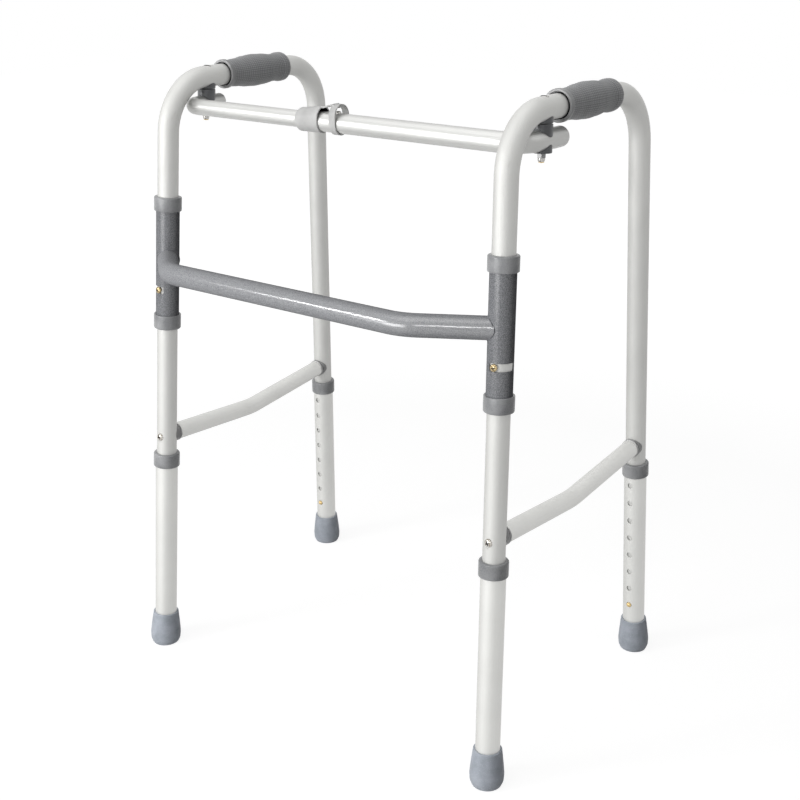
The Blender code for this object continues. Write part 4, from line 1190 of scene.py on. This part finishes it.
def makeLockCollar():
    left, mouth, radius, raised = lock["left"], lock["mouth"], lock["radius"], lock["raise"]
    inside = radius - lock["wall"]
    sections = [(left, radius - 0.0026, 0.0003)]
    for i in range(1, 7):
        share = i / 6
        sections.append((left + 0.0042 * share, radius - 0.0026 * (1 - share) ** 2, 0.0005))
    for share in (0.15, 0.3, 0.45, 0.6, 0.75, 0.9):
        x = left + 0.0050 + (mouth - left - 0.0050) * share
        sections.append((x, radius, 0.0006 + (raised - 0.0006) * share))
    sections += [(mouth - 0.0006, radius, raised), (mouth, radius - 0.0005, raised)]
    shell = oblongLoft("lockCollar", sections, "lockPlastic")
    alongX = Matrix.Translation((0, runY, barLevel)) @ Matrix.Rotation(math.pi / 2, 4, "Y")
    outerEnd = upperBar["outer"]["end"]
    bore = upperBar["inner"]["radius"] + clearance
    carve(shell, rod("innerBore", alongX, bore, left - 0.01, outerEnd, 48))
    bore = upperBar["outer"]["radius"] + clearance
    carve(shell, rod("outerBore", alongX, bore, outerEnd - 0.0003, mouth + 0.01, 48))
    cavity = [(outerEnd + 0.003, inside, raised), (mouth + 0.01, inside, raised)]
    carve(shell, oblongLoft("cavity", cavity))
    settle(shell, "outer_bar", "lock_plastic", "lock_collar")

    # a thin black sheet inside paints the shade in the collar's mouth
    outer = inside - 0.0001
    inner = outer - 0.0006
    skin = [(outerEnd + 0.0031, outer, raised), (mouth - 0.0012, outer, raised)]
    lining = oblongLoft("lockMouthShade", skin, "blackPlastic")
    carve(lining, oblongLoft("hollow", [(outerEnd, inner, raised), (mouth + 0.01, inner, raised)]))
    settle(lining, "outer_bar", "lock_plastic")


def makeReleaseRing():
    # the loop round the bar
    outer = oblong(lock["ringRadius"], lock["ringRaise"])
    inner = oblong(lock["ringInner"], lock["ringRaise"])
    left, right, edge = lock["ringLeft"], lock["ringRight"], lock["edge"]
    loops = (
        (outer, left + edge, 0),
        (outer, right - edge, 0),
        (outer, right, -edge),
        (inner, right, edge),
        (inner, right - edge, 0),
        (inner, left + edge, 0),
        (inner, left, edge),
        (outer, left, -edge),
    )
    middle = lock["ringRaise"] / 2
    rings = []
    for outline, x, ease in loops:
        ring = []
        for y, z in outline:
            reach = Vector((y, z - middle))
            reach *= (reach.length + ease) / reach.length
            ring.append(Vector((x, runY + reach.x, barLevel + middle + reach.y)))
        rings.append(ring)
    rings.append(rings[0])
    lengths = [0.002 * i for i in range(len(rings))]
    loop = loft("releaseRing", rings, lengths, 0.09, "lockPlastic")
    settle(loop, "release_ring", "lock_plastic", "release_ring")

    # the strip that carries it, from the collar's mouth
    root = joints["release_hinge"]["pos_m"][0]
    thickness = lock["stripThickness"]
    low = lock["radius"] + lock["raise"] - thickness
    top = lock["ringRadius"] + lock["ringRaise"] - thickness
    rows = []
    for i in range(13):
        share = i / 12
        x = root + (left + 0.0012 - root) * share
        z = low + (top - low) * share * share * (3 - 2 * share)
        half = lock["stripWidth"] * (1 + 0.10 * share ** 3) / 2
        outline = (
            (-half, edge),
            (-half, thickness - edge),
            (-half + edge, thickness),
            (half - edge, thickness),
            (half, thickness - edge),
            (half, edge),
            (half - edge, 0),
            (-half + edge, 0),
        )
        rows.append([Vector((x, runY + y, barLevel + z + lift)) for y, lift in outline])
    lengths = [0.0015 * i for i in range(len(rows))]
    strip = loft("releaseStrip", rows, lengths, 0.022, "lockPlastic")
    settle(strip, "release_ring", "lock_plastic")

    # the pad under it that presses the button
    ceiling = lock["ringInner"] + lock["ringRaise"]
    high, low = ceiling + pad["rise"], ceiling - pad["hang"]
    corners = [(0, low, 0), (pad["tip"], low, 0.0006), (pad["root"], high, 0), (0, high, 0)]
    piece = turned("releasePad", softened(corners, 3), lockAxes, "lockPlastic", 32)
    settle(piece, "release_ring", "lock_plastic")


def makeLockButton():
    low = lock["buttonLow"]
    corners = buttonDome(upperBar["outer"]["radius"])
    corners += [(snapButton["radius"], low, 0.0003), (0, low, 0)]
    button = turned("lockButton", softened(corners, 5), lockAxes, "steel", 32)
    settle(button, "lock_button", "brass", "lock_button")


for label in sideSign:
    makeFrameTube(label)
    makeSideRail(label)
    makeGrip(label)
    makeSleeve(label)
    for end in inwards:
        makeLeg(label, end)
    makePivot(label)
    print(label, "side frame made")
makeCrossbar()
for label in sideSign:
    makeUpperBar(label)
makeLockCollar()
makeReleaseRing()
makeLockButton()
print("crossbar, upper bar and lock made")

# CAD nodes that stay get their finish here
for name, node in frame["nodes"].items():
    if node.hide_render:
        continue
    node.data.materials.clear()
    node.data.materials.append(finishes["steel"])
    node.data.shade_smooth()
    print("kept CAD node", name)


# Floor, light and camera

studio = {"ambient": 0.02, "floorWhite": 0.88, "floorTone": 0.42, "floorShade": 0.25, "shadowReach": 0.9}
viewpoint = {
    "place": (0.8622, soles["right", "front"].y - 1.0145, 0.9242),
    "azimuth": math.radians(35.61),
    "pitch": math.radians(21.05),
    "roll": math.radians(0.24),
    "lens": 55.70,
}
lamps = {  # each has its place, aim, width, height and power
    "keyLamp": ((-1.49, -2.23, 1.33), (0, 0, 0.5), 0.60, 0.34, 20),
    "fillLamp": ((-0.6, -2.8, 0.62), (0, 0, 0.45), 2.0, 1.1, 41),
    "frontLamp": ((1.31, -2.49, 1.35), (0, 0, 0.5), 0.40, 0.25, 5),
    "topLamp": ((-0.2, -0.3, 3.0), (0, 0, 0.4), 3.2, 3.2, 36),
    "rimLamp": ((1.5, 0.3, 1.7), (0.2, 0, 0.7), 0.8, 0.8, 1.5),
}


def seenRays(tree):
    # 1 for the rays that show the background, 0 for those that light the object
    path = addNode(tree, "ShaderNodeLightPath")
    value = path.outputs["Is Camera Ray"]
    for kind in ("Is Glossy Ray", "Is Transmission Ray"):
        either = addNode(tree, "ShaderNodeMath", operation="MAXIMUM")
        tree.links.new(value, either.inputs[0])
        tree.links.new(path.outputs[kind], either.inputs[1])
        value = either.outputs[0]
    return value


def makeStage():
    # a floor that is seen white with the frame's shadow on it, and whitest away from the frame
    material = bpy.data.materials.new("paleFloor")
    material.use_nodes = True
    tree = material.node_tree
    tree.nodes.clear()
    place = addNode(tree, "ShaderNodeNewGeometry")
    reach = addNode(tree, "ShaderNodeVectorMath", operation="LENGTH")
    tree.links.new(place.outputs["Position"], reach.inputs[0])
    near = studio["shadowReach"]
    whiter = addRange(tree, reach.outputs["Value"], studio["floorWhite"], 1, near, near * 2.2)
    white = addNode(tree, "ShaderNodeEmission")
    tree.links.new(whiter, white.inputs["Strength"])
    thin = addNode(tree, "ShaderNodeBsdfDiffuse", Color=(*[studio["floorShade"]] * 3, 1))
    matt = addNode(tree, "ShaderNodeBsdfDiffuse", Color=(*[studio["floorTone"]] * 3, 1))
    seenFloor = addNode(tree, "ShaderNodeAddShader")
    tree.links.new(white.outputs[0], seenFloor.inputs[0])
    tree.links.new(thin.outputs[0], seenFloor.inputs[1])
    mix = addNode(tree, "ShaderNodeMixShader")
    tree.links.new(seenRays(tree), mix.inputs["Fac"])
    tree.links.new(matt.outputs[0], mix.inputs[1])
    tree.links.new(seenFloor.outputs[0], mix.inputs[2])
    output = addNode(tree, "ShaderNodeOutputMaterial")
    tree.links.new(mix.outputs[0], output.inputs["Surface"])
    shape = bmesh.new()
    bmesh.ops.create_grid(shape, x_segments=1, y_segments=1, size=6)
    finishes["paleFloor"] = material
    floor = newPiece("floor", shape, "paleFloor")
    floor.location.z = -0.0002


def makeWorld():
    world = bpy.data.worlds.new("studio")
    bpy.context.scene.world = world
    world.use_nodes = True
    tree = world.node_tree
    background = tree.nodes["Background"]
    background.inputs["Color"].default_value = (1, 1, 1, 1)
    strength = addRange(tree, seenRays(tree), studio["ambient"], 1, 0, 1)
    tree.links.new(strength, background.inputs["Strength"])


def addLamp(name, place, aim, width, height, power):
    data = bpy.data.lights.new(name, "AREA")
    data.energy = power
    data.shape = "RECTANGLE"
    data.size = width
    data.size_y = height
    lamp = bpy.data.objects.new(name, data)
    bpy.context.scene.collection.objects.link(lamp)
    lamp.location = place
    direction = Vector(aim) - Vector(place)
    lamp.rotation_euler = direction.to_track_quat("-Z", "Y").to_euler()


def makeCamera():
    data = bpy.data.cameras.new("camera")
    data.lens = viewpoint["lens"]
    data.sensor_width = 36
    data.clip_end = 30
    obj = bpy.data.objects.new("camera", data)
    bpy.context.scene.collection.objects.link(obj)
    turn = Matrix.Rotation(viewpoint["azimuth"], 4, "Z")
    tip = Matrix.Rotation(math.pi / 2 - viewpoint["pitch"], 4, "X")
    roll = Matrix.Rotation(viewpoint["roll"], 4, "Z")
    obj.matrix_world = Matrix.Translation(viewpoint["place"]) @ turn @ tip @ roll
    bpy.context.scene.camera = obj


makeStage()
makeWorld()
makeCamera()
for name, values in lamps.items():
    addLamp(name, *values)
bpy.context.scene.view_settings.view_transform = "Standard"
print("floor, light and camera made")
